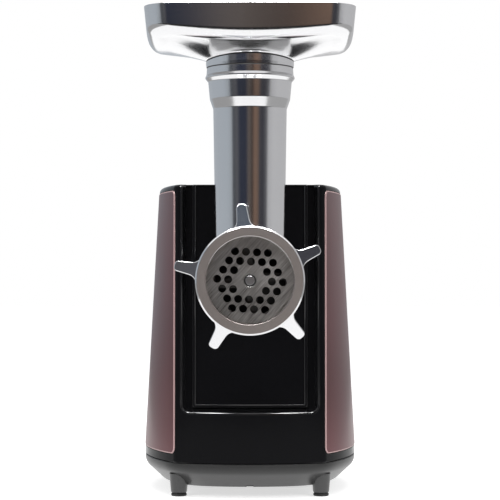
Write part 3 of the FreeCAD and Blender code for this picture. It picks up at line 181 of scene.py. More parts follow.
class BaseSizes(bpy.types.PropertyGroup):
    bottom: length("Bottom", "Height of the pan's underside", 7.5)
    rim: length("Rim", "Height at which the side starts to slope", 19.5)
    inset: length("Inset", "Inset of the underside from the housing", 14)
    rim_inset: length("Rim inset", "Inset of the rim from the housing", 0.4)
    rim_round: length("Rim radius", "Radius of the edge under the rim", 8)
    corner: length("Corner", "Radius of the pan's upright corners", 34)
    low_round: length("Lower radius", "Radius of the edge round the underside", 2.2)
    seam_gap: length("Seam gap", "Gap under the housing", 0.2)
    floor_edge: length("Floor edge", "Width of the flat edge round the underside", 12)
    foot_x: length("Foot", "Distance of the feet from the middle", 50.6)
    foot_front: length("Front feet", "Depth of the front feet", 58)
    foot_back: length("Rear feet", "Depth of the rear feet", 191)
    foot_radius: length("Foot radius", "Radius of the feet at the ground", 5.7)
    foot_root: length("Foot root", "Radius of the feet at the pan", 6.8)
    foot_top: length("Foot top", "Height of the feet's roots", 15)
    foot_reach: length("Foot reach", "How far the feet go on into the pan", 1)
    pad: length("Pad", "Thickness of the rubber pads", 2.5)
    pad_inset: length("Pad inset", "Inset of the pads from the feet", 0.2)
    pad_groove: length("Pad groove", "Depth of the groove between foot and pad", 0.7)
    pad_shoulder: length("Pad shoulder", "Height of the pads' shoulder under the groove", 1.9)
    notch_half: length("Notch half width", "Half of the notch's width in the front edge", 2.4)
    notch_height: length("Notch height", "Height of the notch in the front edge", 1.4)
    notch_depth: length("Notch depth", "Depth of the notch behind the front edge", 4)


class HeadSizes(bpy.types.PropertyGroup):
    nose_front: length("Nose front", "Depth of the nose's front edge", -57)
    nose_back: length("Nose back", "Depth at which the nose starts to taper", -37)
    nose_radius: length("Nose", "Radius of the nose's thread", 33)
    seat_radius: length("Seat", "Radius of the cutting plate's seat", 31)
    seat_back: length("Seat back", "Depth of the cutting plate's seat", -53.9)
    knife_room: length("Knife room", "Radius of the room for the knife", 28)
    knife_back: length("Knife room back", "Depth of the room for the knife", -45.6)
    thread: length("Thread", "Radius of the rounded thread", 0.7)
    thread_pitch: length("Pitch", "Pitch of the nose's thread", 4.5)
    thread_length: length("Thread length", "Length of the thread along the nose", 16.5)
    barrel_front: length("Barrel front", "Depth at which the barrel starts behind the nose", -31)
    barrel_back: length("Barrel back", "Depth at which the barrel runs out into the collar", 29)
    barrel_radius: length("Barrel", "Radius of the barrel", 28)
    collar_front: length("Collar front", "Depth of the collar's front edge", 35)
    collar_back: length("Collar back", "Depth of the collar's back", 40.6)
    collar_radius: length("Collar", "Radius of the collar at the housing", 34)
    spigot_radius: length("Spigot", "Radius of the spigot in the housing", 25)
    spigot_back: length("Spigot back", "Depth of the spigot's end", 55)
    bush_radius: length("Bush", "Radius of the bush's seat", 13)
    bore: length("Bore", "Radius of the worm's bore", 23.2)
    bore_back: length("Bore back", "Depth of the worm's bore", 39)
    feed_radius: length("Feed", "Radius of the feed bore", 21.5)
    feed_opening: length("Feed opening", "Radius of the feed's opening over the worm", 22.3)
    feed_step: length("Feed step", "Height at which the feed bore widens", 180)
    skirt_radius: length("Skirt", "Radius of the throat's foot on the barrel", 26.5)
    skirt_bottom: length("Skirt bottom", "Height at which the foot starts to taper", 173)
    skirt_top: length("Skirt top", "Height at which the foot has run out", 182)
    throat_radius: length("Throat", "Radius of the throat over its foot", 23.6)
    throat_upper: length("Upper throat", "Radius of the throat under its collar", 25)
    cone_bottom: length("Cone bottom", "Height of the lower end of the collar's cone", 270)
    cone_top: length("Cone top", "Height of the upper end of the collar's cone", 276.6)
    collar_foot: length("Collar foot", "Radius of the throat's collar at its foot", 27.3)
    neck_radius: length("Neck", "Radius of the throat's collar under its bead", 28.4)
    bead_bottom: length("Bead bottom", "Height of the bead's lower end", 288.4)
    bead_middle: length("Bead middle", "Height of the bead's ridge", 291)
    bead_top: length("Bead top", "Height of the bead's upper end", 293.2)
    bead_radius: length("Bead", "Radius of the bead round the mouth", 30.6)
    mouth_foot: length("Mouth foot", "Radius of the mouth over the bead", 29.6)
    mouth_edge: length("Mouth edge", "Radius of the mouth at its top", 29.3)
    mouth_radius: length("Mouth bore", "Radius of the seat for the tray's spout", 25.5)
    mouth_floor: length("Mouth floor", "Height of the seat for the tray's spout", 283)
    mouth_top: length("Mouth top", "Height of the throat's mouth", 298)


class RingSizes(bpy.types.PropertyGroup):
    radius: length("Radius", "Outer radius of the ring nut", 35.5)
    face: length("Face", "Outer radius of the ring nut's flat face", 34.5)
    lip: length("Lip", "Radius of the opening over the plate", 28.5)
    front: length("Front", "Depth of the ring nut's face", -62.3)
    back: length("Back", "Depth of the ring nut's back", -42)
    thread: length("Thread", "Inner radius of the ring nut", 33.3)
    wing_reach: length("Wing reach", "Distance of the wings' tips from the axis", 50.2)
    wing_tip: length("Wing tip", "Half of the wings' width at the tip", 3.2)
    wing_root: length("Wing root", "Half of the wings' width at the root", 4.6)
    wing_round: length("Wing round", "Radius of the wings' tips", 2.6)
    wing_fillet: length("Wing fillet", "Radius at the wings' roots", 6.5)
    wing_spread: angle("Wing spread", "Angle over which the wings run out into the ring", 13)
    wing_edge: length("Wing edge", "Radius of the wings' edges", 0.8)
    wing_rake: angle("Wing rake", "Slope of the wings' faces to the back", 22)
    wing_set: length("Wing set", "Set of the wings behind the face", 1.2)
    wing_length: length("Wing length", "Depth of the wings", 11)
    wing_first: angle("First wing", "Angle of the first wing from the right", 24.6)
    wing_count: tally("Wings", "Number of wings", 5)
    wing_sunk: length("Wing sunk", "How far the wings reach into the ring", 0.4)
    wing_bore: length("Wing bore", "Distance of the wings' slab from the thread", 0.8)
    plate_radius: length("Plate", "Radius of the cutting plate", 30.8)
    plate_front: length("Plate front", "Depth of the cutting plate's face", -59)
    plate_thick: length("Plate thickness", "Thickness of the cutting plate", 5)
    plate_bore: length("Plate bore", "Radius of the cutting plate's bore", 3.85)
    bore_bevel: length("Bore bevel", "Bevel round the cutting plate's bore", 0.55)
    pin_radius: length("Pin", "Radius of the steel pin's end in the bore", 3)
    pin_proud: length("Pin proud", "Height of the pin's end over the plate", 0.15)
    pin_depth: length("Pin depth", "Depth of the pin's end in the bore", 0.4)
    hole_radius: length("Hole", "Radius of the cutting plate's holes", 2.6)
    hole_pitch: length("Hole pitch", "Distance between neighbouring holes", 7.1)
    hole_ring: tally("Inner ring", "Pitches from the middle to the inner ring of holes", 2)
    plate_turn: angle("Plate turn", "Turn of the cutting plate's hole pattern", 3)


class TraySizes(bpy.types.PropertyGroup):
    half_width: length("Half width", "Half of the tray's width", 70.6)
    half_length: length("Half length", "Half of the tray's length", 69)
    bow: length("Bow", "Bow of the tray's front and back", 4)
    side_bow: length("Side bow", "Bow of the tray's sides", 2.3)
    rim: length("Rim", "Height of the tray's rim", 333)
    bottom: length("Bottom", "Height of the lower edge of the tray's sides", 309.2)
    bottom_rise: length("Bottom rise", "Rise of the lower edge in front and at the back", 0.4)
    sheet: length("Sheet", "Thickness of the pressed sheet", 1.3)
    edge: length("Edge", "Radius of the rim's edges", 0.4)
    corner: length("Corner", "Radius of the tray's front corners", 17)
    rear_corner: length("Rear corner", "Radius of the tray's rear corners", 27)
    corner_least: length("Least corner", "Smallest radius of a drawn-in corner", 4)
    corner_share: number("Corner share", "Share of an inset that comes off a corner's radius", 0.4)
    bottom_round: length("Lower radius", "Radius between side and underside", 8.5)
    draft: angle("Draft", "Slope of the tray's sides", 5)
    fall_start: length("Fall start", "Distance from the side at which the floor starts to fall", 12)
    fall_drop: length("Fall drop", "Drop of the floor at that distance", 0.2)
    floor_slope: angle("Floor slope", "Slope by which the lower edge rises to the corners", 14)
    side_hollow: number("Side hollow", "Power of the floor's fall at the sides", 0.85)
    front_hollow: number("Front hollow", "Power of the floor's fall in front and at the back", 0.48)
    neck: length("Neck", "Radius of the neck on the throat", 29.6)
    neck_swell: length("Neck swell", "Largest radius of the neck", 29.9)
    swell_rise: length("Swell rise", "Height over the mouth at which the neck is widest", 2.4)
    neck_rise: length("Neck rise", "Height over the mouth up to which the neck is plain", 3.6)
    seam: length("Seam", "Height of the neck's seam at the sides", 302.4)
    seam_rise: length("Seam rise", "Rise of the neck's seam towards front and back", 2.8)
    seam_depth: length("Seam depth", "Depth of the groove along the neck's seam", 0.6)
    seam_half: length("Seam half width", "Half of the height of that groove", 0.4)
    mouth: length("Mouth", "Height of the throat's mouth", 298)
    spout_outer: length("Spout", "Outer radius of the spout", 25.2)
    spout_inner: length("Spout bore", "Inner radius of the spout", 24.1)
    spout_bottom: length("Spout bottom", "Height of the spout's lower edge", 284)


class EdgeSizes(bpy.types.PropertyGroup):
    hair: length("Hair", "Radius of an edge that is only just broken", 0.2)
    fine: length("Fine", "Radius of inner edges", 0.3)
    crisp: length("Crisp", "Radius of turned edges", 0.4)
    light: length("Light", "Radius of edges at lips", 0.5)
    eased: length("Eased", "Radius of edges that guide a piece in", 0.6)
    soft: length("Soft", "Radius of edges at steps", 0.8)
    round: length("Round", "Radius of edges at collars", 1)
    full: length("Full", "Radius of beads and gripped edges", 1.2)
    swell: length("Swell", "Radius of slow bends round the necks", 2)
    sweep: length("Sweep", "Radius of hollows at cones", 3)
    flare: length("Flare", "Radius of the hollow at the barrel's collar", 4)
    skirt: length("Skirt", "Radius of the bends at the throat's foot", 6)


class Finishes(bpy.types.PropertyGroup):
    housing_black: colour("Housing", "Gloss black of the housing", (0.006, 0.006, 0.007))
    # A glossier copy of the housing black on the recess rim and the plate's edges, which paints highlight lines
    # there.
    polished_lip: colour("Polished lip", "Polished edges of recess and plate", (0.008, 0.008, 0.009))
    panel_rose: colour("Panels", "Metallic rose of the side panels", (0.16, 0.066, 0.072))
    # A lighter rose on the panels' rounded edges and sides: a painted highlight round each panel.
    panel_edge: colour("Panel edges", "Bright cut edge round the side panels", (0.56, 0.37, 0.365))
    base_grey: colour("Base", "Satin grey of the base", (0.04, 0.04, 0.04))
    pad_rubber: colour("Pads", "Rubber of the pads", (0.02, 0.02, 0.02))
    polished_alloy: colour("Alloy", "Polished alloy of head and tray", (0.80, 0.80, 0.81))
    pressed_alloy: colour("Pressed alloy", "Satin alloy of the tray", (0.82, 0.82, 0.83))
    # Turned face of the ring nut with a warm tint that paints its reflection, also put on the ring's inside faces
    # as painted shade.
    turned_alloy: colour("Turned alloy", "Turned face of the ring nut", (0.29, 0.257, 0.243))
    cutting_steel: colour("Cutting steel", "Brushed steel of plate and knife", (0.47, 0.46, 0.445))
    # A dark dull metal that paints the shade inside the head, on the solids in it and in the tray's seam grooves.
    cast_inside: colour("Cast inside", "Dull cast inside of the head", (0.09, 0.088, 0.085))
    plain_steel: colour("Steel", "Plain steel of the inner parts", (0.50, 0.50, 0.51))
    bearing_bronze: colour("Bronze", "Bronze of the bearings", (0.60, 0.42, 0.20))
    gear_nylon: colour("Nylon", "Nylon of gears and fan", (0.75, 0.74, 0.68))
    gearbox_grey: colour("Gearbox", "Moulded gearbox", (0.16, 0.17, 0.18))
    copper: colour("Copper", "Enamelled copper of the windings", (0.62, 0.30, 0.16))
    carbon: colour("Carbon", "Carbon of the brushes", (0.04, 0.04, 0.04))
    switch_black: colour("Switch", "Black of switch and gland", (0.015, 0.015, 0.016))


class StageSizes(bpy.types.PropertyGroup):
    camera_back: length("Camera distance", "Distance of the camera in front of the throat", 1180)
    camera_height: length("Camera height", "Height of the camera", 162)
    camera_tilt: angle("Camera tilt", "Tilt of the camera above level", 0.60)
    lens: bpy.props.FloatProperty(name="Lens", description="Focal length", default=124.92, unit="CAMERA")
    floor_half: length("Floor", "Half of the floor's width", 6000)
    light_aim: length("Light aim", "Height at which the lights are aimed", 170)
    screen_radius: length("Screen radius", "Radius of the studio's screen", 2600)
    screen_top: length("Screen top", "Height of the studio's screen", 2200)
    apron: length("Apron", "Depth at which the dark part of the floor starts", -560)
    table_half: length("Table", "Half of the width of the white part of the floor", 420)
    card_height: length("Card height", "Height of the cards over the floor", 1)
    ceiling: length("Ceiling", "Height of the bright ceiling", 2300)
    ceiling_half: length("Ceiling half width", "Half of the bright ceiling's width", 900)
    ceiling_back: length("Ceiling back", "Depth of the bright ceiling's rear edge", 100)


def settings(name):
    return getattr(bpy.context.scene, "grinder_" + name)


# Outlines

def spot(x, depth, z):
    """A point from its depth behind the throat's axis."""
    return Vector((x, THROAT_Y + depth, z))


def arc(centre, radius, start, end, count):
    """Points from one angle to another, both ends included."""
    steps = [start + (end - start) * index / count for index in range(count + 1)]
    return [Vector((centre[0] + radius * math.cos(a), centre[1] + radius * math.sin(a))) for a in steps]


def sweep(end, count):
    """Angles from zero to an end, both included."""
    return [end * index / count for index in range(count + 1)]


def rounded(corners, closed=True, step=math.radians(10)):
    """An outline of (across, along, radius) corners with each corner rounded."""
    points = []
    last = len(corners) - 1
    for index, (across, along, radius) in enumerate(corners):
        here = Vector((across, along))
        if radius == 0 or (not closed and index in (0, last)):
            points.append(here)
            continue
        before = (Vector(corners[index - 1][:2]) - here).normalized()
        after = (Vector(corners[(index + 1) % len(corners)][:2]) - here).normalized()
        bend = before.angle(after) / 2
        centre = here + (before + after).normalized() * radius / math.sin(bend)
        start = here + before * radius / math.tan(bend) - centre
        end = here + after * radius / math.tan(bend) - centre
        first = math.atan2(start.y, start.x)
        swing = (math.atan2(end.y, end.x) - first + math.pi) % TURN - math.pi
        points += arc(centre, radius, first, first + swing, max(2, math.ceil(abs(swing) / step)))
    return points


def crossing(first, first_radius, second, second_radius):
    """The crossing of two circles that lies furthest to the right."""
    apart = second - first
    reach = apart.length
    along = (first_radius ** 2 - second_radius ** 2 + reach ** 2) / (2 * reach)
    aside = math.sqrt(first_radius ** 2 - along ** 2)
    step = apart / reach
    foot = first + step * along
    across = Vector((-step.y, step.x)) * aside
    return max(foot + across, foot - across, key=lambda point: point.x)


def side_arc(height):
    """Centre and radius of the housing's right side at a height."""
    body = settings("housing")
    share = (height - body.seam) / (body.top - body.seam)
    half = body.base_half + (body.top_half - body.base_half) * share
    set_back = body.front_radius - math.sqrt(body.front_radius ** 2 - body.corner_half ** 2)
    chord = (body.back - body.front) / 2 - set_back
    rise = half - body.corner_half
    bow = (chord ** 2 + rise ** 2) / (2 * rise)
    return Vector((half - bow, (body.front + body.back) / 2)), bow


def plan(height, inset, corner):
    """Plan of the housing at a height, drawn in and with rounded corners."""
    body = settings("housing")
    front = Vector((0, body.front + body.front_radius))
    front_radius = body.front_radius - inset
    side, bow = side_arc(height)
    bow -= inset
    hub = crossing(front, front_radius - corner, side, bow - corner)
    from_front = math.atan2(hub.y - front.y, hub.x - front.x)
    from_side = math.atan2(hub.y - side.y, hub.x - side.x)
    quarter = arc(front, front_radius, -RIGHT, from_front, FRONT_STEPS)
    quarter += arc(hub, corner, from_front, from_side, CORNER_STEPS)[1:]
    quarter += arc(side, bow, from_side, 0, SIDE_STEPS)[1:]
    rear = [Vector((point.x, 2 * side.y - point.y)) for point in reversed(quarter[:-1])]
    right = quarter + rear
    left = [Vector((-point.x, point.y)) for point in reversed(right[1:-1])]
    return [spot(point.x, point.y, height) for point in right + left]


def front_depth(x, z):
    """Depth of the housing's bowed front, with its rounded upper edge."""
    body = settings("housing")
    depth = body.front + body.front_radius - math.sqrt(body.front_radius ** 2 - x ** 2)
    over = z - (body.top - body.top_round)
    if over > 0:
        depth += body.top_round - math.sqrt(max(0, body.top_round ** 2 - over ** 2))
    return depth


# Meshes

def new_piece(name, bm):
    bmesh.ops.remove_doubles(bm, verts=bm.verts, dist=WELD)
    bmesh.ops.recalc_face_normals(bm, faces=bm.faces)
    mesh = bpy.data.meshes.new(name)
    bm.to_mesh(mesh)
    bm.free()
    piece = bpy.data.objects.new(name, mesh)
    bpy.context.scene.collection.objects.link(piece)
    return piece


def loft(name, loops, capped=True):
    """A skin through loops of equal count, capped at both ends or closed into a ring."""
    bm = bmesh.new()
    rows = [[bm.verts.new(point) for point in loop] for loop in loops]
    count = len(rows[0])
    following = rows[1:] if capped else rows[1:] + rows[:1]
    for low, high in zip(rows, following):
        for index in range(count):
            beside = (index + 1) % count
            bm.faces.new((low[index], low[beside], high[beside], high[index]))
    if capped:
        bm.faces.new(reversed(rows[0]))
        bm.faces.new(rows[-1])
    return new_piece(name, bm)


def upright_ring(radius, height, count):
    return [spot(radius * math.cos(TURN * i / count), radius * math.sin(TURN * i / count), height)
            for i in range(count)]


def barrel_ring(radius, depth, count):
    return [spot(radius * math.cos(TURN * i / count), depth, BARREL_Z + radius * math.sin(TURN * i / count))
            for i in range(count)]


def turned(name, outline, ring, capped=False, count=TURNED_SIDES):
    """A turned piece from its (radius, along) outline."""
    return loft(name, [ring(radius, along, count) for radius, along in outline], capped)


def block(name, low, high):
    """A plain block between two corners."""
    outline = [(low[0], low[1]), (high[0], low[1]), (high[0], high[1]), (low[0], high[1])]
    return loft(name, [[spot(x, depth, z) for x, depth in outline] for z in (low[2], high[2])])


def apply_modifiers(piece):
    bpy.context.view_layer.update()
    graph = bpy.context.evaluated_depsgraph_get()
    mesh = bpy.data.meshes.new_from_object(piece.evaluated_get(graph))
    piece.modifiers.clear()
    piece.data = mesh


def combine(piece, tool, operation="DIFFERENCE", solver="EXACT"):
    """Cut a tool from a piece or join it to the piece, and remove the tool."""
    step = piece.modifiers.new(operation.title(), "BOOLEAN")
    step.object = tool
    step.operation = operation
    step.solver = solver
    apply_modifiers(piece)
    bpy.data.objects.remove(tool)


def mark_painted_inside_shade(piece, axis):
    """Mark the faces that look at an axis through the head for the second finish, the painted shade of the inside.
    """
    for face in piece.data.polygons:
        out = face.center - spot(0, 0, BARREL_Z)
        out -= out.project(axis)
        face.material_index = int(out.dot(face.normal) < -INSIDE * out.length)


def finish_piece(piece, body, slot, *nodes, sharp=35, look=None, second=None):
    """Shade a piece, give it its finishes and let it stand for its solids."""
    mesh = piece.data
    marks = [face.material_index for face in mesh.polygons]
    mesh.materials.clear()
    mesh.materials.append(finish(look or slot))
    if second:
        mesh.materials.append(finish(second))
        mesh.polygons.foreach_set("material_index", marks)
    mesh.shade_smooth()
    mesh.set_sharp_from_angle(angle=math.radians(sharp))
    weigh = piece.modifiers.new("Weighted normals", "WEIGHTED_NORMAL")
    weigh.keep_sharp = True
    apply_modifiers(piece)
    if nodes:
        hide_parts(*nodes)
    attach(piece, body)


# Finishes

SURFACES = {
    "housing_black": dict(rough=(0.10, 0.16), spread=0.15, grain=700, bump=0.02, specular=0.06),
    # High gloss on the recess rim and the plate's edges: painted highlight lines.
    "polished_lip": dict(rough=(0.12, 0.20), spread=0.15, grain=900, bump=0.02, specular=0.8),
    "panel_rose": dict(rough=(0.28, 0.40), spread=0.22, grain=2600, bump=0.03, metal=0.85, coat=0.05,
                       specular=0.25),
    # Lighter rose on the panels' edges: painted highlight.
    "panel_edge": dict(rough=(0.30, 0.40), spread=0.10, grain=1800, bump=0.02, metal=0.2),
    # The base's gloss fades above the rim: painted shade along the seam under the housing.
    "base_grey": dict(rough=(0.26, 0.38), spread=0.20, grain=1500, bump=0.08, specular=0.8,
                      fade=(0.016, 0.0225, 0.25)),
    "pad_rubber": dict(rough=(0.65, 0.85), spread=0.25, grain=900, bump=0.15),
    "polished_alloy": dict(rough=(0.10, 0.19), spread=0.05, grain=1300, bump=0.035, metal=1),
    "pressed_alloy": dict(rough=(0.12, 0.20), spread=0.06, grain=1100, bump=0.05, metal=1),
    # Ring nut's face and inside: real turned grain, a painted reflection tint on the face and painted shade
    # inside.
    "turned_alloy": dict(rough=(0.34, 0.46), spread=0.08, grain=1500, bump=0.04, metal=0.6),
    "cutting_steel": dict(rough=(0.26, 0.46), spread=0.50, grain=2500, bump=0.10, metal=1,
                          stretch=(1, 1, 26), turn=42, contrast=0.16),
    # Dark dull metal: painted shade inside the head and in grooves.
    "cast_inside": dict(rough=(0.45, 0.62), spread=0.25, grain=900, bump=0.15, metal=1),
    "plain_steel": dict(rough=(0.25, 0.40), spread=0.12, grain=1600, bump=0.06, metal=1, stretch=(1, 7, 1)),
    "bearing_bronze": dict(rough=(0.28, 0.42), spread=0.15, grain=500, bump=0.06, metal=1),
    "gear_nylon": dict(rough=(0.40, 0.55), spread=0.08, grain=600, bump=0.05),
    "gearbox_grey": dict(rough=(0.45, 0.60), spread=0.18, grain=900, bump=0.10),
    "copper": dict(rough=(0.25, 0.40), spread=0.30, grain=1800, bump=0.30, metal=1, coat=0.3,
                   stretch=(6, 1, 6)),
    "carbon": dict(rough=(0.60, 0.80), spread=0.30, grain=700, bump=0.10),
    "switch_black": dict(rough=(0.28, 0.40), spread=0.20, grain=1200, bump=0.06, specular=0.2),
}
PLAIN = dict(metal=0, coat=0, specular=0.5, stretch=(1, 1, 1), turn=0, contrast=0.2, fade=None)
COAT_ROUGHNESS = 0.08
GRAIN_SHARE, CLOUD_SHARE = 0.6, 0.4
GRAIN_DETAIL, GRAIN_ROUGHNESS = 3, 0.6
CLOUD_SCALE, CLOUD_DETAIL = 18, 2
RELIEF = 0.0005


def plug(tree, value, socket):
    """Link a socket to an input, or set the input to a plain value."""
    if isinstance(value, bpy.types.NodeSocket):
        tree.links.new(value, socket)
    else:
        socket.default_value = value


def add_node(tree, kind, **inputs):
    """A node with inputs set or linked by name, spaces in the names written as underscores."""
    node = tree.nodes.new(kind)
    for name, value in inputs.items():
        plug(tree, value, node.inputs[name.replace("_", " ")])
    return node


def calculate(tree, operation, *terms):
    """The result of a math node over sockets and numbers."""
    node = tree.nodes.new("ShaderNodeMath")
    node.operation = operation
    for socket, term in zip(node.inputs, terms):
        plug(tree, term, socket)
    return node.outputs[0]


def ranged(tree, value, low, high, start=0.0, end=1.0):
    """A value carried over from one range to another."""
    return add_node(tree, "ShaderNodeMapRange", Value=value, From_Min=low, From_Max=high,
                    To_Min=start, To_Max=end).outputs["Result"]


def grain_of(tree, place, surface):
    """Fine grain of a surface, drawn out along its brushing."""
    mapping = add_node(tree, "ShaderNodeMapping", Vector=place, Scale=surface["stretch"],
                       Rotation=(0, math.radians(surface["turn"]), 0))
    mapping.vector_type = "TEXTURE"
    return add_node(tree, "ShaderNodeTexNoise", Vector=mapping.outputs["Vector"], Scale=surface["grain"],
                    Detail=GRAIN_DETAIL, Roughness=GRAIN_ROUGHNESS).outputs["Fac"]


def tinted(tree, share, shade, spread):
    """A colour that varies by a spread on both sides of a shade."""
    mix = tree.nodes.new("ShaderNodeMix")
    mix.data_type = "RGBA"
    plug(tree, share, mix.inputs["Factor"])
    ends = [socket for socket in mix.inputs if socket.type == "RGBA"]
    for socket, part in zip(ends, (1 - spread, 1 + spread)):
        socket.default_value = (*[min(1, value * part) for value in shade], 1)
    return next(socket for socket in mix.outputs if socket.type == "RGBA")


def painted_shade_by_height(tree, place, specular, low, high, share):
    """A gloss that fades to a share of itself between two heights, which paints shade on a band of the surface."""
    height = add_node(tree, "ShaderNodeSeparateXYZ", Vector=place).outputs["Z"]
    return calculate(tree, "MULTIPLY", ranged(tree, height, low, high, 1.0, share), specular)


def finish(slot):
    """The procedural finish of one material slot, made once."""
    name = slot + "_finish"
    if name in bpy.data.materials:
        return bpy.data.materials[name]
    surface = {**PLAIN, **SURFACES[slot]}
    material = bpy.data.materials.new(name)
    material.use_nodes = True
    tree = material.node_tree
    place = add_node(tree, "ShaderNodeTexCoord").outputs["Object"]
    grain = grain_of(tree, place, surface)
    cloud = add_node(tree, "ShaderNodeTexNoise", Vector=place, Scale=CLOUD_SCALE, Detail=CLOUD_DETAIL)
    clouds = ranged(tree, cloud.outputs["Fac"], 0, 1, 0, CLOUD_SHARE)
    mixed = calculate(tree, "MULTIPLY_ADD", grain, GRAIN_SHARE, clouds)
    low, high = 0.5 - surface["contrast"], 0.5 + surface["contrast"]
    specular = surface["specular"]
    looks = {
        "Metallic": surface["metal"],
        "Coat Weight": surface["coat"],
        "Coat Roughness": COAT_ROUGHNESS,
        # Where a slot asks for it, the gloss fades by height: painted shade.
        "Specular IOR Level": painted_shade_by_height(tree, place, specular, *surface["fade"]) if surface["fade"] else specular,
        "Roughness": ranged(tree, mixed, low, high, *surface["rough"]),
        "Base Color": tinted(tree, ranged(tree, mixed, low, high), getattr(settings("finishes"), slot),
                             surface["spread"]),
        "Normal": add_node(tree, "ShaderNodeBump", Height=grain, Strength=surface["bump"],
                           Distance=RELIEF).outputs["Normal"],
    }
    for socket, value in looks.items():
        plug(tree, value, tree.nodes["Principled BSDF"].inputs[socket])
    return material


# Geometry node trees

def new_tree(name, inputs):
    """An empty tree with named inputs and the geometry going out."""
    tree = bpy.data.node_groups.new(name, "GeometryNodeTree")
    tree.interface.new_socket("Geometry", in_out="OUTPUT", socket_type="NodeSocketGeometry")
    for label, kind in inputs.items():
        tree.interface.new_socket(label, in_out="INPUT", socket_type="NodeSocket" + kind)
    source = tree.nodes.new("NodeGroupInput")
    return tree, source.outputs


def close_tree(tree, geometry, material):
    """End a tree in plain geometry with its material."""
    solid = add_node(tree, "GeometryNodeRealizeInstances", Geometry=geometry)
    dressed = add_node(tree, "GeometryNodeSetMaterial", Geometry=solid.outputs["Geometry"], Material=material)
    add_node(tree, "NodeGroupOutput", Geometry=dressed.outputs["Geometry"])


def grown(name, tree, values):
    """A plain mesh piece from a tree and the values of its inputs."""
    piece = bpy.data.objects.new(name, bpy.data.meshes.new(name))
    bpy.context.scene.collection.objects.link(piece)
    step = piece.modifiers.new(name, "NODES")
    step.node_group = tree
    for item in tree.interface.items_tree:
        if item.in_out == "INPUT":
            step[item.identifier] = values[item.name]
    apply_modifiers(piece)
    return piece


def bar(tree, radius, depth, sides):
    """A round bar about the Z axis."""
    node = add_node(tree, "GeometryNodeMeshCylinder", Vertices=sides, Radius=radius, Depth=depth)
    return node.outputs["Mesh"]


def hole_place(tree, given, inner):
    """Place of a hole by its number: first round the inner ring of a hexagonal grid, then round the next."""
    def work(operation, *terms):
        return calculate(tree, operation, *terms)

    number_of_hole = tree.nodes.new("GeometryNodeInputIndex").outputs[0]
    outer = work("GREATER_THAN", number_of_hole, 6 * inner - 0.5)
    ring = work("ADD", outer, inner)
    place = work("SUBTRACT", number_of_hole, work("MULTIPLY", outer, 6 * inner))
    sector = work("FLOOR", work("DIVIDE", work("ADD", place, 0.01), ring))
    step = work("SUBTRACT", place, work("MULTIPLY", sector, ring))
    heading = work("ADD", work("MULTIPLY", sector, TURN / 6), given["Turn"])
    across = work("ADD", heading, TURN / 3)
    parts = {}
    for axis, wave in (("X", "COSINE"), ("Y", "SINE")):
        out = work("MULTIPLY", ring, work(wave, heading))
        along = work("MULTIPLY", step, work(wave, across))
        parts[axis] = work("MULTIPLY", work("ADD", out, along), given["Pitch"])
    return add_node(tree, "ShaderNodeCombineXYZ", **parts).outputs[0]


def bore_bevel(tree, given):
    """Cone that bevels the plate's bore in front."""
    bore, bevel = given["Bore"], given["Bevel"]
    deep = calculate(tree, "MULTIPLY", bevel, 2)
    cone = add_node(tree, "GeometryNodeMeshCone", Vertices=BORE_SIDES, Depth=deep,
                    Radius_Bottom=calculate(tree, "SUBTRACT", bore, bevel),
                    Radius_Top=calculate(tree, "ADD", bore, bevel))
    face = calculate(tree, "DIVIDE", given["Thickness"], 2)
    level = calculate(tree, "ADD", calculate(tree, "SUBTRACT", face, deep), FIT / 2)
    lift = add_node(tree, "ShaderNodeCombineXYZ", Z=level).outputs[0]
    return add_node(tree, "GeometryNodeTransform", Geometry=cone.outputs["Mesh"], Translation=lift).outputs[0]


def plate_tree(inner):
    """Round plate with two rings of holes and a bevelled bore."""
    tree, given = new_tree("perforated_plate", {
        "Radius": "Float", "Thickness": "Float", "Bore": "Float", "Bevel": "Float", "Hole": "Float",
        "Pitch": "Float", "Turn": "Float", "Material": "Material"})
    deep = calculate(tree, "MULTIPLY", given["Thickness"], 3)
    dots = add_node(tree, "GeometryNodePoints", Count=6 * (2 * inner + 1),
                    Position=hole_place(tree, given, inner))
    holes = add_node(tree, "GeometryNodeInstanceOnPoints", Points=dots.outputs[0],
                     Instance=bar(tree, given["Hole"], deep, HOLE_SIDES))
    blank = bar(tree, given["Radius"], given["Thickness"], TURNED_SIDES)
    drill = add_node(tree, "GeometryNodeMeshBoolean", Mesh_1=blank, Mesh_2=holes.outputs[0])
    drill.operation = "DIFFERENCE"
    for tool in (bar(tree, given["Bore"], deep, BORE_SIDES), bore_bevel(tree, given)):
        tree.links.new(tool, drill.inputs["Mesh 2"])
    close_tree(tree, drill.outputs["Mesh"], given["Material"])
    return tree


def thread_tree():
    """Rounded thread wound along the Z axis."""
    tree, given = new_tree("rounded_thread", {
        "Radius": "Float", "Thread": "Float", "Length": "Float", "Turns": "Float", "Material": "Material"})
    helix = add_node(tree, "GeometryNodeCurveSpiral", Resolution=THREAD_STEPS, Rotations=given["Turns"],
                     Start_Radius=given["Radius"], End_Radius=given["Radius"], Height=given["Length"])
    section = add_node(tree, "GeometryNodeCurvePrimitiveCircle", Resolution=THREAD_SIDES,
                       Radius=given["Thread"])
    wound = add_node(tree, "GeometryNodeCurveToMesh", Curve=helix.outputs[0],
                     Profile_Curve=section.outputs[0], Fill_Caps=True)
    close_tree(tree, wound.outputs[0], given["Material"])
    return tree


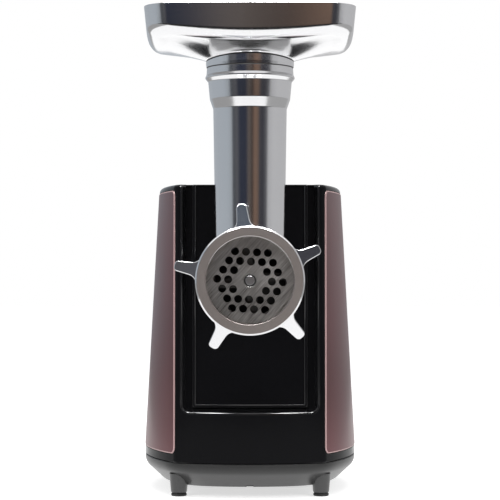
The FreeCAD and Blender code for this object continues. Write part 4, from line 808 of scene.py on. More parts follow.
def slots_tree():
    """Row of slots with round ends, one above the other."""
    tree, given = new_tree("vent_slots", {
        "Half Width": "Float", "Height": "Float", "Depth": "Float", "Pitch": "Float", "Count": "Int",
        "Material": "Material"})
    rise = add_node(tree, "ShaderNodeCombineXYZ", Z=given["Pitch"])
    line = add_node(tree, "GeometryNodeMeshLine", Count=given["Count"], Offset=rise.outputs[0])
    outline = add_node(tree, "GeometryNodeCurvePrimitiveQuadrilateral", Height=given["Height"],
                       Width=calculate(tree, "MULTIPLY", given["Half Width"], 2))
    ends = add_node(tree, "GeometryNodeFilletCurve", Curve=outline.outputs[0],
                    Radius=calculate(tree, "MULTIPLY", given["Height"], 0.49))
    ends.mode = "POLY"
    ends.inputs["Count"].default_value = SLOT_STEPS
    face = add_node(tree, "GeometryNodeFillCurve", Curve=ends.outputs[0]).outputs[0]
    sides = add_node(tree, "GeometryNodeExtrudeMesh", Mesh=face, Offset_Scale=given["Depth"],
                     Individual=False)
    back = add_node(tree, "GeometryNodeFlipFaces", Mesh=face)
    whole = add_node(tree, "GeometryNodeJoinGeometry", Geometry=sides.outputs["Mesh"])
    tree.links.new(back.outputs[0], whole.inputs["Geometry"])
    sealed = add_node(tree, "GeometryNodeMergeByDistance", Geometry=whole.outputs[0], Distance=FIT / 20)
    row = add_node(tree, "GeometryNodeInstanceOnPoints", Points=line.outputs[0], Instance=sealed.outputs[0],
                   Rotation=(RIGHT, 0, 0))
    close_tree(tree, row.outputs[0], given["Material"])
    return tree


def move(piece, matrix):
    """Put a piece's place into its mesh."""
    piece.data.transform(matrix)


# Housing

def recess_path(offset, top):
    """Upright outline of the recess, open at the top, from the left side to the right."""
    sizes = settings("recess")
    half = sizes.half + offset
    bottom = sizes.bottom - offset
    corner = sizes.corner + offset
    drop = [top * (1 - share) + (bottom + corner) * share for share in RECESS_DROP]
    left = [Vector((-half, z)) for z in drop]
    turn = arc((-half + corner, bottom + corner), corner, math.pi, 1.5 * math.pi, RECESS_CORNER_STEPS)
    run = [Vector(((half - corner) * (step / RECESS_RUN - 1), bottom)) for step in range(1, RECESS_RUN)]
    start = left + turn + run
    right = [Vector((-point.x, point.y)) for point in reversed(start)]
    return start + [Vector((0, bottom))] + right


def recess_frame():
    """Moulded rim of the recess: a rounded lip, an inner side and a slope down to the floor."""
    sizes = settings("recess")
    top = settings("housing").top
    lip = sizes.lip
    surface = [(sizes.border, sizes.rim_depth), (sizes.border, -sizes.rim_proud)]
    surface += [(lip - lip * math.sin(a), lip - lip * math.cos(a) - sizes.rim_proud)
                for a in sweep(RIGHT, EDGE_STEPS)]
    inner = [(0, sizes.bevel_depth), (-sizes.bevel, sizes.floor_depth),
             (-sizes.bevel, sizes.flange_back), (sizes.border, sizes.flange_back)]
    surface_paths = [(recess_path(offset, top), over) for offset, over in surface]
    inner_paths = [(recess_path(offset, top), depth) for offset, depth in inner]
    sections = []
    for index in range(len(recess_path(0, top))):
        section = []
        deepest = 0
        for path, over in surface_paths:
            point = path[index]
            depth = front_depth(point.x, point.y) + over
            section.append(spot(point.x, depth, point.y))
            deepest = max(deepest, depth)
        for path, depth in inner_paths:
            point = path[index]
            section.append(spot(point.x, max(depth, deepest), point.y))
        sections.append(section)
    return loft("recess_frame", sections)


def panel_arc(height, inset):
    """Centre and radius of a panel's arc at a height, and the angle at which it ends."""
    centre, bow = side_arc(height)
    end = settings("housing").corner_half + settings("panels").gap
    return centre, bow, math.acos((end - centre.x) / bow) - inset / bow


def panel_grid(side, inset, offset):
    """Grid of points over a side panel, drawn in by an inset and raised by an offset."""
    sizes = settings("panels")
    corner = max(sizes.corner - inset, sizes.corner_least)
    _, foot_bow, foot_limit = panel_arc(sizes.bottom, inset)
    grid = []
    for column in range(PANEL_COLUMNS + 1):
        across = -math.cos(math.pi * column / PANEL_COLUMNS)
        along = foot_limit * foot_bow * (1 - abs(across))
        trim = corner - math.sqrt(max(0, corner ** 2 - max(0, corner - along) ** 2))
        low = sizes.bottom + inset + trim
        high = sizes.top - inset - trim
        line = []
        for row in range(PANEL_ROWS + 1):
            z = low + (high - low) * row / PANEL_ROWS
            centre, bow, limit = panel_arc(z, inset)
            heading = limit * across
            reach = bow + offset
            line.append(spot(side * (centre.x + reach * math.cos(heading)),
                             centre.y + reach * math.sin(heading), z))
        grid.append(line)
    return grid


def grid_border(grid):
    """Points round the edge of a grid, in order."""
    return ([line[0] for line in grid] + grid[-1][1:]
            + [line[-1] for line in reversed(grid[:-1])] + grid[0][-2:0:-1])


def side_panel(name, side, grow=0.0):
    """Curved panel with rounded corners and edges; a grown one is the tool for its pocket."""
    sizes = settings("panels")
    edge = sizes.edge
    top = sizes.proud + (sizes.pocket_over if grow else 0)
    rims = [(-grow + edge * (1 - math.sin(a)), top - edge * (1 - math.cos(a)))
            for a in sweep(RIGHT, PANEL_EDGE_STEPS)]
    rims.append((-grow, -sizes.thick - grow))
    bm = bmesh.new()
    face = panel_grid(side, *rims[0])
    back = panel_grid(side, *rims[-1])
    for grid in (face, back):
        points = [[bm.verts.new(point) for point in line] for line in grid]
        for first, second in zip(points, points[1:]):
            for row in range(len(first) - 1):
                bm.faces.new((first[row], second[row], second[row + 1], first[row + 1]))
    loops = [[bm.verts.new(point) for point in grid_border(panel_grid(side, *rim))] for rim in rims]
    count = len(loops[0])
    for low, high in zip(loops, loops[1:]):
        for index in range(count):
            beside = (index + 1) % count
            # The edges and sides of a panel take the second finish, a lighter rose that paints a highlight round
            # it.
            side_face = bm.faces.new((low[index], low[beside], high[beside], high[index]))
            side_face.material_index = 0 if grow else 1
    return new_piece(name, bm)


class GRINDER_OT_housing(bpy.types.Operator):
    """Gloss housing with its recess frame, side pockets and back openings"""
    bl_idname = "grinder.housing"
    bl_label = "Housing"

    def execute(self, context):
        body = settings("housing")
        recess = settings("recess")
        skin = body.wall + settings("panels").thick
        inner_corner = body.corner_round / 2
        loops = [plan(body.top - body.wall, skin, inner_corner), plan(body.seam, skin, inner_corner),
                 plan(body.seam, body.groove, body.corner_round)]
        rise = body.top - body.top_round - body.seam - body.groove
        for level in range(SIDE_LEVELS + 1):
            loops.append(plan(body.seam + body.groove + rise * level / SIDE_LEVELS, 0, body.corner_round))
        for lean in sweep(RIGHT, TOP_STEPS)[1:]:
            loops.append(plan(body.top - body.top_round * (1 - math.sin(lean)),
                              body.top_round * (1 - math.cos(lean)), body.corner_round))
        shell = loft("housing_shell_look", loops)
        opening = recess_path(recess.border / 2, body.top + body.wall * 2)
        combine(shell, loft("opening", [[spot(p.x, depth, p.y) for p in opening]
                                        for depth in (body.front - body.wall, recess.flange_back)]))
        for side in (-1, 1):
            combine(shell, side_panel("pocket", side, settings("panels").gap))
        self.open_back(shell, body)
        rim = recess_frame()
        # The whole recess frame takes the glossier lip finish, a painted highlight.
        rim.data.polygons.foreach_set("material_index", [1] * len(rim.data.polygons))
        for piece in (shell, rim):
            for slot in ("housing_black", "polished_lip"):
                piece.data.materials.append(finish(slot))
        combine(shell, rim, "UNION")
        finish_piece(shell, "housing", "housing_black", "housing_shell", sharp=28, second="polished_lip")
        return {"FINISHED"}

    def open_back(self, shell, body):
        """Vents, the gland's hole and the recess of the switch."""
        sizes = settings("back")
        behind = body.back + sizes.tool_over
        vents = grown("vents", slots_tree(), {
            "Half Width": sizes.vent_half, "Height": sizes.vent_height, "Depth": sizes.vent_cut,
            "Pitch": sizes.vent_pitch, "Count": sizes.vent_count, "Material": None})
        move(vents, Matrix.Translation(spot(0, behind, sizes.vent_bottom)))
        gland_low, gland_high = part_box("cord_gland")
        ends = [(sizes.gland_hole, depth) for depth in (body.back - sizes.gland_cut, behind)]
        hole = turned("gland_hole", ends, barrel_ring, capped=True, count=BORE_SIDES)
        move(hole, Matrix.Translation((0, 0, (gland_low.z + gland_high.z) / 2 - BARREL_Z)))
        room = sizes.switch_room
        bezel_low, bezel_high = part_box("switch_bezel")
        low = (bezel_low.x - room, bezel_low.y - THROAT_Y, bezel_low.z - room)
        high = (bezel_high.x + room, behind, bezel_high.z + room)
        for tool in (vents, hole, block("switch_recess", low, high)):
            combine(shell, tool)


class GRINDER_OT_panels(bpy.types.Operator):
    """Metallic panels let into both sides of the housing"""
    bl_idname = "grinder.panels"
    bl_label = "Side Panels"

    def execute(self, context):
        for side, node in ((-1, "left_side_panel"), (1, "right_side_panel")):
            # Each panel's edges get the lighter rose, a painted highlight.
            finish_piece(side_panel(node + "_look", side), "housing", "panel_rose", node, second="panel_edge")
        return {"FINISHED"}


class GRINDER_OT_front_panel(bpy.types.Operator):
    """Raised plate in the recess with its flange and the head's hole"""
    bl_idname = "grinder.front_panel"
    bl_label = "Front Panel"

    def execute(self, context):
        sizes = settings("recess")
        body = settings("housing")
        plate = loft("front_panel_look", [self.outline(inset, depth, sizes, body.top)
                                          for inset, depth in self.steps(sizes, body.wall)])
        flange = block("flange", (-sizes.flange_half, sizes.floor_depth, sizes.flange_bottom),
                       (sizes.flange_half, sizes.flange_back, body.top - body.wall))
        combine(plate, flange, "UNION")
        ends = (sizes.plate_depth - body.wall, sizes.flange_back + body.wall)
        combine(plate, turned("socket", [(sizes.socket, depth) for depth in ends], barrel_ring, capped=True))
        # Sloping faces of the plate's edge and border take the glossier lip finish, a painted highlight.
        for face in plate.data.polygons:
            face.material_index = int(-FLAT < face.normal.y < -UPRIGHT)
        finish_piece(plate, "housing", "housing_black", "front_panel", second="polished_lip")
        return {"FINISHED"}

    def steps(self, sizes, wall):
        """Insets and depths over the plate's edge and the inner edge of its border."""
        edge, bead = sizes.plate_edge, sizes.bead_round
        border = edge + sizes.bead
        steps = [(0, sizes.floor_depth + wall / 2)]
        steps += [(edge * (1 - math.cos(a)), sizes.plate_depth + edge * (1 - math.sin(a)))
                  for a in sweep(RIGHT, EDGE_STEPS)]
        steps += [(border + bead * math.sin(a), sizes.plate_depth + bead * (1 - math.cos(a)))
                  for a in sweep(sizes.bead_sweep, BEAD_STEPS)]
        return steps

    def outline(self, inset, depth, sizes, top):
        """Upright outline of the plate, drawn in."""
        half = sizes.plate_half - inset
        low = sizes.plate_bottom + inset
        high = top - min(inset, sizes.plate_edge)
        corner = max(sizes.plate_corner - inset / 2, sizes.corner_least)
        points = rounded([(-half, low, corner), (half, low, corner), (half, high, corner / 2),
                          (-half, high, corner / 2)])
        return [spot(point.x, depth, point.y) for point in points]


class GRINDER_OT_base(bpy.types.Operator):
    """Satin pan with a sloping side, four feet and their rubber pads"""
    bl_idname = "grinder.base"
    bl_label = "Base"

    def execute(self, context):
        sizes = settings("base")
        body = settings("housing")
        rim_top = body.seam - sizes.seam_gap
        outline = rounded([
            (sizes.inset + body.wall, rim_top, 0), (sizes.rim_inset, rim_top, body.groove),
            (sizes.rim_inset, sizes.rim, sizes.rim_round), (sizes.inset, sizes.bottom, sizes.low_round),
            (sizes.inset + sizes.floor_edge, sizes.bottom, 0)], closed=False)
        pan = loft("base_pan_look", [plan(height, inset, sizes.corner) for inset, height in outline])
        for place in self.places(sizes):
            combine(pan, self.stand("foot", place, self.foot(sizes, settings("edges"))), "UNION")
        notch_back = body.front + sizes.inset + sizes.notch_depth
        combine(pan, block("notch", (-sizes.notch_half, body.front, 0),
                           (sizes.notch_half, notch_back, sizes.bottom + sizes.notch_height)))
        finish_piece(pan, "housing", "base_grey", "base_pan", sharp=30)
        outline = self.pad(sizes, settings("edges"))
        pads, *others = [self.stand("foot_pads_look", place, outline) for place in self.places(sizes)]
        for pad in others:
            combine(pads, pad, "UNION")
        finish_piece(pads, "housing", "pad_rubber", "foot_pads")
        return {"FINISHED"}

    def places(self, sizes):
        """Places of the four feet."""
        return [Vector((side * sizes.foot_x, depth, 0)) for side in (-1, 1)
                for depth in (sizes.foot_front, sizes.foot_back)]

    def stand(self, name, place, outline):
        """A round upright piece on a foot's place."""
        return loft(name, [[point + place for point in upright_ring(radius, z, FOOT_SIDES)]
                           for radius, z in outline])

    def foot(self, sizes, edges):
        """Outline of a foot, from the middle of its underside."""
        return rounded([
            (sizes.foot_radius / 2, sizes.pad, 0), (sizes.foot_radius, sizes.pad, edges.soft),
            (sizes.foot_root, sizes.foot_top, 0), (sizes.foot_root, sizes.foot_top + sizes.foot_reach, 0)],
            closed=False)

    def pad(self, sizes, edges):
        """Outline of a rubber pad with a groove under the foot."""
        radius = sizes.foot_radius - sizes.pad_inset
        groove = sizes.foot_radius - sizes.pad_groove
        return rounded([
            (groove / 2, 0, 0), (radius, 0, edges.eased), (radius, sizes.pad_shoulder, edges.fine),
            (groove, sizes.pad_shoulder, 0), (groove, sizes.pad - FIT, 0)], closed=False)


# Head

class GRINDER_OT_head(bpy.types.Operator):
    """Cast barrel with a threaded nose, and the feed throat on it"""
    bl_idname = "grinder.head"
    bl_label = "Head"

    def execute(self, context):
        self.barrel(settings("head"), settings("edges"))
        self.throat(settings("head"), settings("edges"))
        return {"FINISHED"}

    def barrel(self, sizes, edges):
        """Barrel with its threaded nose, collar and spigot, bored for the worm."""
        root = sizes.nose_radius - sizes.thread
        barrel = turned("grinder_head_look", rounded([
            (sizes.seat_radius, sizes.nose_front, edges.crisp), (root, sizes.nose_front, edges.eased),
            (root, sizes.nose_back, edges.soft), (sizes.barrel_radius, sizes.barrel_front, edges.sweep),
            (sizes.barrel_radius, sizes.barrel_back, edges.flare),
            (sizes.collar_radius, sizes.collar_front, edges.round),
            (sizes.collar_radius, sizes.collar_back, edges.soft),
            (sizes.spigot_radius, sizes.collar_back, edges.crisp),
            (sizes.spigot_radius, sizes.spigot_back, edges.eased),
            (sizes.bush_radius, sizes.spigot_back, edges.fine), (sizes.bush_radius, sizes.bore_back, 0),
            (sizes.bore, sizes.bore_back, edges.round), (sizes.bore, sizes.knife_back, edges.light),
            (sizes.knife_room, sizes.knife_back, edges.light),
            (sizes.knife_room, sizes.seat_back, edges.fine),
            (sizes.seat_radius, sizes.seat_back, edges.hair)]), barrel_ring)
        feed = [(sizes.feed_opening, z) for z in (BARREL_Z, BARREL_Z + sizes.nose_radius)]
        combine(barrel, turned("opening", feed, upright_ring, capped=True))
        thread = grown("thread", thread_tree(), {
            "Radius": root - OVERLAP, "Thread": sizes.thread, "Length": sizes.thread_length,
            "Turns": sizes.thread_length / sizes.thread_pitch, "Material": finish("polished_alloy")})
        start = spot(0, sizes.nose_back - 2 * sizes.thread, BARREL_Z)
        move(thread, Matrix.Translation(start) @ Matrix.Rotation(RIGHT, 4, "X"))
        combine(barrel, thread, "UNION")
        # Faces inside the bores take the dark second finish, painted shade.
        mark_painted_inside_shade(barrel, Vector((0, 1, 0)))
        finish_piece(barrel, "head", "polished_alloy", "grinder_head", second="cast_inside")

    def throat(self, sizes, edges):
        """Throat with a wider collar and a beaded mouth, cut to sit on the barrel."""
        throat = turned("feed_throat_look", rounded([
            (sizes.feed_opening, BARREL_Z, 0), (sizes.skirt_radius, BARREL_Z, 0),
            (sizes.skirt_radius, sizes.skirt_bottom, edges.skirt),
            (sizes.throat_radius, sizes.skirt_top, edges.skirt),
            (sizes.throat_upper, sizes.cone_bottom, edges.sweep),
            (sizes.collar_foot, sizes.cone_top, edges.swell),
            (sizes.neck_radius, sizes.bead_bottom, edges.soft),
            (sizes.bead_radius, sizes.bead_middle, edges.full),
            (sizes.mouth_foot, sizes.bead_top, edges.round), (sizes.mouth_edge, sizes.mouth_top, edges.light),
            (sizes.mouth_radius, sizes.mouth_top, edges.eased),
            (sizes.mouth_radius, sizes.mouth_floor, edges.fine),
            (sizes.feed_radius, sizes.mouth_floor, edges.eased),
            (sizes.feed_radius, sizes.feed_step, edges.fine),
            (sizes.feed_opening, sizes.feed_step, edges.fine)]), upright_ring)
        ends = (sizes.barrel_front, sizes.collar_front)
        saddle = [(sizes.barrel_radius - OVERLAP, depth) for depth in ends]
        combine(throat, turned("saddle", saddle, barrel_ring, capped=True))
        # Faces inside the feed bore take the dark second finish, painted shade.
        mark_painted_inside_shade(throat, Vector((0, 0, 1)))
        finish_piece(throat, "head", "polished_alloy", "feed_throat", second="cast_inside")


class GRINDER_OT_ring(bpy.types.Operator):
    """Ring nut with an inner lip and gripping wings"""
    bl_idname = "grinder.ring"
    bl_label = "Ring Nut"

    def execute(self, context):
        sizes = settings("ring")
        edges = settings("edges")
        back_of_lip = sizes.plate_front - OVERLAP
        shoulder = sizes.front + sizes.radius - sizes.face
        ring = turned("ring_nut_look", rounded([
            (sizes.lip, sizes.front, edges.light), (sizes.face, sizes.front, edges.crisp),
            (sizes.radius, shoulder, edges.crisp), (sizes.radius, sizes.back, edges.full),
            (sizes.thread, sizes.back, edges.eased), (sizes.thread, back_of_lip, edges.fine),
            (sizes.lip, back_of_lip, edges.crisp)]), barrel_ring, count=RING_SIDES)
        combine(ring, self.wings(sizes), "UNION", "MANIFOLD")
        # Inside faces and the flat front face take the second finish: painted shade inside, a painted reflection
        # tint on the face.
        mark_painted_inside_shade(ring, Vector((0, 1, 0)))
        for face in ring.data.polygons:
            if face.normal.y < -FLAT and face.center.y < THROAT_Y + sizes.front + OVERLAP:
                face.material_index = 1
        finish_piece(ring, "ring", "polished_alloy", "ring_nut", sharp=40, second="turned_alloy")
        return {"FINISHED"}

    def outline(self, sizes):
        """Outline of the wings with hollow roots, seen from the front."""
        corners = []
        step = TURN / sizes.wing_count
        inner = sizes.radius - sizes.wing_sunk
        tip = sizes.wing_tip / sizes.wing_reach
        foot = math.asin(sizes.wing_root / inner)
        side = foot + sizes.wing_spread
        for wing in range(sizes.wing_count):
            turn = sizes.wing_first + step * wing
            stops = [(inner, -side, 0), (inner, -foot, sizes.wing_fillet),
                     (sizes.wing_reach, -tip, sizes.wing_round), (sizes.wing_reach, tip, sizes.wing_round),
                     (inner, foot, sizes.wing_fillet), (inner, side, 0)]
            stops += [(inner, side + (step - 2 * side) * part / BETWEEN_WINGS, 0)
                      for part in range(1, BETWEEN_WINGS)]
            for reach, swing, radius in stops:
                corners.append((reach * math.cos(turn + swing), reach * math.sin(turn + swing), radius))
        return rounded(corners)

    def wings(self, sizes):
        """Slab of all wings with faces that lean back, rounded along its front and back edges."""
        outline = self.outline(sizes)
        edge = sizes.wing_edge
        front = sizes.front + sizes.wing_set
        back = front + sizes.wing_length
        slope = math.tan(sizes.wing_rake)
        loops = []
        for level, lean in enumerate(sweep(math.pi, WING_STEPS)):
            loop = []
            for index, corner in enumerate(outline):
                depth = back - edge * (1 + math.cos(lean))
                if level < WING_STEPS / 2:
                    depth = front + edge * (1 - math.cos(lean)) + slope * max(0, corner.length - sizes.radius)
                point = self.drawn_in(outline, index, edge * (1 - math.sin(lean)))
                loop.append(spot(point.x, depth, BARREL_Z + point.y))
            loops.append(loop)
        slab = loft("wings", loops)
        bore = [(sizes.thread + sizes.wing_bore, depth) for depth in (front - edge, back + edge)]
        combine(slab, turned("bore", bore, barrel_ring, capped=True, count=RING_SIDES))
        return slab

    def drawn_in(self, outline, index, pull):
        """A point of the outline moved inwards."""
        before = outline[index - 1]
        after = outline[(index + 1) % len(outline)]
        along = (after - before).normalized()
        return outline[index] + Vector((-along.y, along.x)) * pull


class GRINDER_OT_plate(bpy.types.Operator):
    """Perforated cutting plate, and the end of the worm's pin in its bore"""
    bl_idname = "grinder.plate"
    bl_label = "Cutting Plate"

    def execute(self, context):
        sizes = settings("ring")
        plate = grown("cutting_plate_look", plate_tree(sizes.hole_ring), {
            "Radius": sizes.plate_radius, "Thickness": sizes.plate_thick, "Bore": sizes.plate_bore,
            "Bevel": sizes.bore_bevel, "Hole": sizes.hole_radius, "Pitch": sizes.hole_pitch,
            "Turn": -sizes.plate_turn, "Material": finish("cutting_steel")})
        middle = spot(0, sizes.plate_front + sizes.plate_thick / 2, BARREL_Z)
        move(plate, Matrix.Translation(middle) @ Matrix.Rotation(RIGHT, 4, "X"))
        finish_piece(plate, "plate", "cutting_steel", "cutting_plate")
        core = sizes.pin_radius / 6
        face = sizes.plate_front - sizes.pin_proud
        root = sizes.plate_front + sizes.pin_depth
        pin = turned("worm_pin_look", rounded([
            (core, face, 0), (sizes.pin_radius, face, settings("edges").hair), (sizes.pin_radius, root, 0),
            (core, root, 0)], closed=False), barrel_ring, capped=True, count=BORE_SIDES)
        finish_piece(pin, "output_drive", "plain_steel")
        return {"FINISHED"}


class GRINDER_OT_tray(bpy.types.Operator):
    """Pressed feed tray with a floor that falls to its neck, and a spout"""
    bl_idname = "grinder.tray"
    bl_label = "Tray"

    def execute(self, context):
        sizes = settings("tray")
        edges = settings("edges")
        sheet = sizes.sheet
        low = (sizes.rim - sizes.bottom) * math.tan(sizes.draft)
        fall = low + sizes.fall_start
        under = sizes.bottom - sizes.fall_drop
        groove = sizes.neck_swell - sizes.seam_depth
        half = sizes.seam_half
        spout = rounded([
            (sizes.spout_inner, sizes.spout_bottom, edges.fine),
            (sizes.spout_outer, sizes.spout_bottom, edges.crisp),
            (sizes.spout_outer, sizes.mouth, edges.hair), (sizes.neck, sizes.mouth, edges.crisp),
            (sizes.neck_swell, sizes.mouth + sizes.swell_rise, edges.swell),
            (sizes.neck_swell, sizes.mouth + sizes.neck_rise, 0)], closed=False)
        seam = [(sizes.neck_swell, -half), (groove, -half / 2), (groove, half / 2), (sizes.neck_swell, half)]
        walls = rounded([
            (fall, under, 0), (low, sizes.bottom, sizes.bottom_round), (0, sizes.rim, sizes.edge),
            (sheet, sizes.rim, sizes.edge), (low + sheet, sizes.bottom + sheet, sizes.bottom_round - sheet),
            (fall, under + sheet, 0)], closed=False)
        headings = [math.atan2(point.y - THROAT_Y, point.x) for point in self.square(0, 0, sizes)]
        loops = [self.round(headings, radius, z) for radius, z in spout]
        loops += [self.round(headings, radius, sizes.seam + over, sizes.seam_rise) for radius, over in seam]
        loops += self.fall(loops[-1], self.square(fall, under, sizes))
        loops += [self.square(inset, z, sizes) for inset, z in walls]
        drain = self.round(headings, sizes.neck_swell - sheet, sizes.seam + sheet, sizes.seam_rise)
        loops += reversed(self.fall(drain, loops[-1]))
        loops += [drain, self.round(headings, sizes.spout_inner, sizes.mouth + sheet)]
        tray = loft("tray_look", loops, capped=False)
        # Faces in the neck's seam and the mouth's joint take the dark second finish, painted shade.
        for face in tray.data.polygons:
            face.material_index = int(self.in_groove(face.center, sizes))
        finish_piece(tray, "tray", "polished_alloy", "tray", sharp=50, look="pressed_alloy",
                     second="cast_inside")
        return {"FINISHED"}

    def in_groove(self, place, sizes):
        """Whether a place lies in the neck's seam or in the joint on the throat's mouth, where shade is painted.
        """
        flat = Vector((place.x, place.y - THROAT_Y))
        seam = sizes.seam + sizes.seam_rise * (flat.y / flat.length) ** 2
        on_neck = sizes.spout_outer < flat.length < sizes.neck_swell - sizes.seam_depth / 4
        return on_neck and (abs(place.z - seam) < sizes.seam_half or place.z < sizes.mouth + sizes.seam_half)

    def fall(self, neck, side):
        """Loops over the falling floor between the neck and the foot of the sides, hollow at the neck."""
        sizes = settings("tray")
        loops = []
        for share in TRAY_FALL:
            loop = [start.lerp(end, share) for start, end in zip(neck, side)]
            for point, start, end in zip(loop, neck, side):
                ahead = (point.y - THROAT_Y) ** 2 / (point.x ** 2 + (point.y - THROAT_Y) ** 2)
                power = sizes.side_hollow + (sizes.front_hollow - sizes.side_hollow) * ahead
                point.z = start.z + (end.z - start.z) * share ** power
            loops.append(loop)
        return loops

    def square(self, inset, z, sizes):
        """Loop of the tray's rounded oblong with a bowed front and back, drawn in."""
        across, along = sizes.half_width - inset, sizes.half_length - inset
        bends = []
        for quarter, (x, y) in enumerate(((1, 1), (-1, 1), (-1, -1), (1, -1))):
            corner = sizes.rear_corner if y > 0 else sizes.corner
            corner = max(corner - inset * sizes.corner_share, sizes.corner_least)
            hub = (x * (across - corner), y * (along - corner))
            bends.append(arc(hub, corner, RIGHT * quarter, RIGHT * (quarter + 1), TRAY_CORNER_STEPS))
        points = []
        for bend, following in zip(bends, bends[1:] + bends[:1]):
            points += bend + [bend[-1].lerp(following[0], step / TRAY_SIDE_STEPS)
                              for step in range(1, TRAY_SIDE_STEPS)]
        for point in points:
            drawn = Vector((sizes.side_bow * (point.y / along) ** 2, sizes.bow * (point.x / across) ** 2))
            point.x -= math.copysign(drawn.x, point.x)
            point.y -= math.copysign(drawn.y, point.y)
        lowness = max(0, min(1, (sizes.rim - z) / (sizes.rim - sizes.bottom)))
        loop = []
        for point in points:
            rise = sizes.bottom_rise * point.y ** 2 / point.length_squared
            rise += math.tan(sizes.floor_slope) * max(0, point.length - min(across, along))
            loop.append(spot(point.x, point.y, z + lowness * rise))
        return loop

    def round(self, headings, radius, z, rise=0.0):
        """Loop round the neck, higher in front and at the back by the rise."""
        return [spot(radius * math.cos(a), radius * math.sin(a), z + rise * math.sin(a) ** 2)
                for a in headings]


# Solids in the head's inside, which take the painted shade of the inside
SHADED_INSIDE_SOLIDS = ("worm", "cutter_knife", "head_bush")


class GRINDER_OT_solids(bpy.types.Operator):
    """Finishes for the solids that show as they are"""
    bl_idname = "grinder.solids"
    bl_label = "Solids"

    def execute(self, context):
        for part in frame["record"]["subparts"]:
            node = part["node"]
            mesh = frame["nodes"][node].data
            mesh.materials.clear()
            # Solids deep in the head take the dark finish, painted shade.
            mesh.materials.append(finish("cast_inside" if node in SHADED_INSIDE_SOLIDS else part["material_slot"]))
        return {"FINISHED"}


# Stage

# Shades of the screen from behind over the left side, the front and the right side, by share of a turn
SCREEN_SHADES = (
    (0.0, (0.45, 0.48, 0.52)), (0.29, (0.42, 0.46, 0.50)), (0.33, (0.38, 0.41, 0.44)),
    (0.348, (0.07, 0.075, 0.085)), (0.385, (0.11, 0.11, 0.12)), (0.41, (0.035, 0.04, 0.06)),
    (0.465, (0.03, 0.035, 0.055)), (0.49, (0.13, 0.11, 0.10)), (0.52, (0.06, 0.045, 0.04)),
    (0.54, (0.21, 0.135, 0.10)), (0.565, (0.18, 0.12, 0.09)), (0.585, (0.06, 0.06, 0.07)),
    (0.615, (0.045, 0.045, 0.055)), (0.648, (0.12, 0.12, 0.13)), (0.668, (0.48, 0.48, 0.49)),
    (0.72, (0.54, 0.54, 0.55)), (1.0, (0.50, 0.50, 0.51)))
SCREEN_SIDES = 96

# Place in metres, width in metres and power in watts of each light
LIGHTS = {
    "left_light": ((-1.3, -1.0, 0.9), 1.1, 9),
    "right_light": ((1.3, -1.0, 0.9), 1.1, 9),
    "top_light": ((0, -0.3, 1.7), 1.4, 12),
}
WHITE = (1, 1, 1, 1)
SKY_BLUE = (0.6, 0.75, 1, 1)
FLOOR_GREY = (0.85, 0.85, 0.85, 1)
FLOOR_ROUGHNESS = 0.6
FLOOR_GLOW = 0.6
ROOM_LIGHT = 0.5


def seen(tree, strength):
    """A strength for what the camera, reflections and glass show, and none for the light that it gives."""
    path = tree.nodes.new("ShaderNodeLightPath")
    camera, glossy, clear = [path.outputs[f"Is {ray} Ray"] for ray in ("Camera", "Glossy", "Transmission")]
    shown = calculate(tree, "MAXIMUM", calculate(tree, "MAXIMUM", camera, glossy), clear)
    return calculate(tree, "MULTIPLY", shown, strength)


def glowing(name, strength, shade):
    """A material that only glows, in one shade or in shades from a function of its tree."""
    material = bpy.data.materials.new(name)
    material.use_nodes = True
    tree = material.node_tree
    tree.nodes.remove(tree.nodes["Principled BSDF"])
    colours = shade(tree) if callable(shade) else shade
    glow = add_node(tree, "ShaderNodeEmission", Color=colours, Strength=strength)
    tree.links.new(glow.outputs[0], tree.nodes["Material Output"].inputs["Surface"])
    return material


def screen_shades(tree):
    """Shades round the screen by the heading from the throat."""
    place = tree.nodes.new("ShaderNodeTexCoord").outputs["Object"]
    split = add_node(tree, "ShaderNodeSeparateXYZ", Vector=place)
    ahead = calculate(tree, "SUBTRACT", THROAT_Y, split.outputs["Y"])
    heading = calculate(tree, "ARCTAN2", split.outputs["X"], ahead)
    ramp = add_node(tree, "ShaderNodeValToRGB",
                    Fac=calculate(tree, "ADD", calculate(tree, "DIVIDE", heading, TURN), 0.5))
    stops = ramp.color_ramp.elements
    for position, _ in SCREEN_SHADES[1:-1]:
        stops.new(position)
    for stop, (position, shade) in zip(stops, SCREEN_SHADES):
        stop.position = position
        stop.color = (*shade, 1)
    return ramp.outputs["Color"]


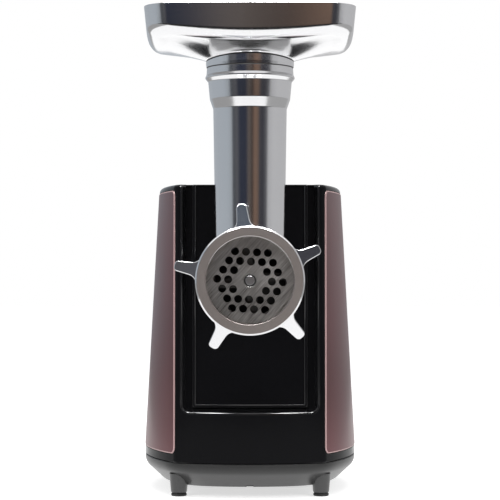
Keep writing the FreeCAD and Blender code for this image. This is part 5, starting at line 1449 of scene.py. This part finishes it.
class GRINDER_OT_stage(bpy.types.Operator):
    """Floor, screen, soft lights, white background and camera"""
    bl_idname = "grinder.stage"
    bl_label = "Stage"

    def execute(self, context):
        scene = context.scene
        sizes = settings("stage")
        scene.view_settings.view_transform = "Standard"
        self.floor(sizes)
        self.screen(sizes)
        self.background(scene)
        self.cards(sizes)
        for name, (place, width, power) in LIGHTS.items():
            self.light(scene, name, Vector(place), width, power, sizes.light_aim)
        self.camera(scene, sizes)
        return {"FINISHED"}

    def floor(self, sizes):
        """White floor that keeps the object's shadow."""
        bm = bmesh.new()
        bmesh.ops.create_grid(bm, x_segments=1, y_segments=1, size=sizes.floor_half)
        floor = new_piece("floor", bm)
        material = bpy.data.materials.new("white_floor")
        material.use_nodes = True
        tree = material.node_tree
        looks = {"Base Color": FLOOR_GREY, "Roughness": FLOOR_ROUGHNESS, "Specular IOR Level": 0,
                 "Emission Color": WHITE, "Emission Strength": seen(tree, FLOOR_GLOW)}
        for socket, value in looks.items():
            plug(tree, value, tree.nodes["Principled BSDF"].inputs[socket])
        floor.data.materials.append(material)

    def screen(self, sizes):
        """Round screen that only reflections see: dark in front and grey at the sides."""
        bm = bmesh.new()
        reach = sizes.screen_radius
        low, high = [[bm.verts.new(spot(reach * math.sin(a), -reach * math.cos(a), z))
                      for a in sweep(TURN, SCREEN_SIDES)[:-1]] for z in (0, sizes.screen_top)]
        for index in range(SCREEN_SIDES):
            beside = (index + 1) % SCREEN_SIDES
            bm.faces.new((low[index], low[beside], high[beside], high[index]))
        self.mirrored_only(new_piece("studio_screen", bm), glowing("studio_shades", 1.0, screen_shades))

    def cards(self, sizes):
        """Flat cards that only reflections see: a white table, dark and grey aprons, and a ceiling."""
        reach, half, apron = sizes.screen_radius, sizes.table_half, sizes.apron
        bright = sizes.ceiling_half
        floor = sizes.card_height
        self.card("dark_apron", (-reach, -reach), (reach, apron), floor, WHITE, 0.02)
        self.card("left_apron", (-reach, apron), (-half, reach), floor, WHITE, 0.36)
        self.card("right_apron", (half, apron), (reach, reach), floor, WHITE, 0.40)
        self.card("table", (-half, apron), (half, reach), floor, WHITE, 1.15)
        self.card("front_ceiling", (-reach, -2 * reach), (reach, -bright), sizes.ceiling, SKY_BLUE, 0.12)
        self.card("ceiling", (-bright, -bright), (bright, sizes.ceiling_back), sizes.ceiling, WHITE, 32)

    def card(self, name, low, high, z, shade, strength):
        """One card between two corners."""
        corners = ((low[0], low[1]), (high[0], low[1]), (high[0], high[1]), (low[0], high[1]))
        bm = bmesh.new()
        bm.faces.new([bm.verts.new(spot(x, depth, z)) for x, depth in corners])
        self.mirrored_only(new_piece(name, bm), glowing(name + "_shade", strength, shade))

    def mirrored_only(self, card, material):
        """Give a card its shade and show it to reflections alone."""
        card.data.materials.append(material)
        card.visible_camera = False
        card.visible_diffuse = False
        card.visible_shadow = False

    def background(self, scene):
        """World that shows white and lights the object at a plain level."""
        scene.world = bpy.data.worlds.new("white_room")
        scene.world.use_nodes = True
        tree = scene.world.node_tree
        strength = calculate(tree, "ADD", seen(tree, 1 - ROOM_LIGHT), ROOM_LIGHT)
        for socket, value in (("Color", WHITE), ("Strength", strength)):
            plug(tree, value, tree.nodes["Background"].inputs[socket])

    def light(self, scene, name, place, width, power, aim):
        """Soft light on the object that reflections don't show."""
        data = bpy.data.lights.new(name, "AREA")
        data.size = width
        data.energy = power
        lamp = bpy.data.objects.new(name, data)
        lamp.location = place
        lamp.rotation_euler = (Vector((0, 0, aim)) - place).to_track_quat("-Z", "Y").to_euler()
        lamp.visible_glossy = False
        scene.collection.objects.link(lamp)

    def camera(self, scene, sizes):
        """Camera in front of the throat, tilted a little up."""
        data = bpy.data.cameras.new("camera")
        data.lens = sizes.lens
        camera = bpy.data.objects.new("camera", data)
        camera.location = spot(0, -sizes.camera_back, sizes.camera_height)
        camera.rotation_euler = (RIGHT + sizes.camera_tilt, 0, 0)
        scene.collection.objects.link(camera)
        scene.camera = camera


OPERATORS = (
    GRINDER_OT_solids, GRINDER_OT_housing, GRINDER_OT_panels, GRINDER_OT_front_panel, GRINDER_OT_base,
    GRINDER_OT_head, GRINDER_OT_ring, GRINDER_OT_plate, GRINDER_OT_tray, GRINDER_OT_stage,
)
GROUPS = {
    "housing": HousingSizes, "back": BackSizes, "panels": PanelSizes, "recess": RecessSizes,
    "base": BaseSizes, "head": HeadSizes, "ring": RingSizes, "tray": TraySizes, "edges": EdgeSizes,
    "finishes": Finishes, "stage": StageSizes,
}


class GRINDER_PT_pieces(bpy.types.Panel):
    """Lists the pieces of the grinder"""
    bl_label = "Meat Grinder"
    bl_idname = "GRINDER_PT_pieces"
    bl_space_type = "VIEW_3D"
    bl_region_type = "UI"
    bl_category = "Grinder"

    def draw(self, context):
        for operator in OPERATORS:
            self.layout.operator(operator.bl_idname)


def register():
    for name, group in GROUPS.items():
        bpy.utils.register_class(group)
        setattr(bpy.types.Scene, "grinder_" + name, bpy.props.PointerProperty(type=group))
    for kind in (*OPERATORS, GRINDER_PT_pieces):
        bpy.utils.register_class(kind)


def unregister():
    for kind in (GRINDER_PT_pieces, *reversed(OPERATORS)):
        bpy.utils.unregister_class(kind)
    for name, group in GROUPS.items():
        delattr(bpy.types.Scene, "grinder_" + name)
        bpy.utils.unregister_class(group)


def main():
    register()
    for operator in OPERATORS:
        getattr(bpy.ops.grinder, operator.bl_idname.split(".")[1])()


if __name__ == "__main__":
    main()
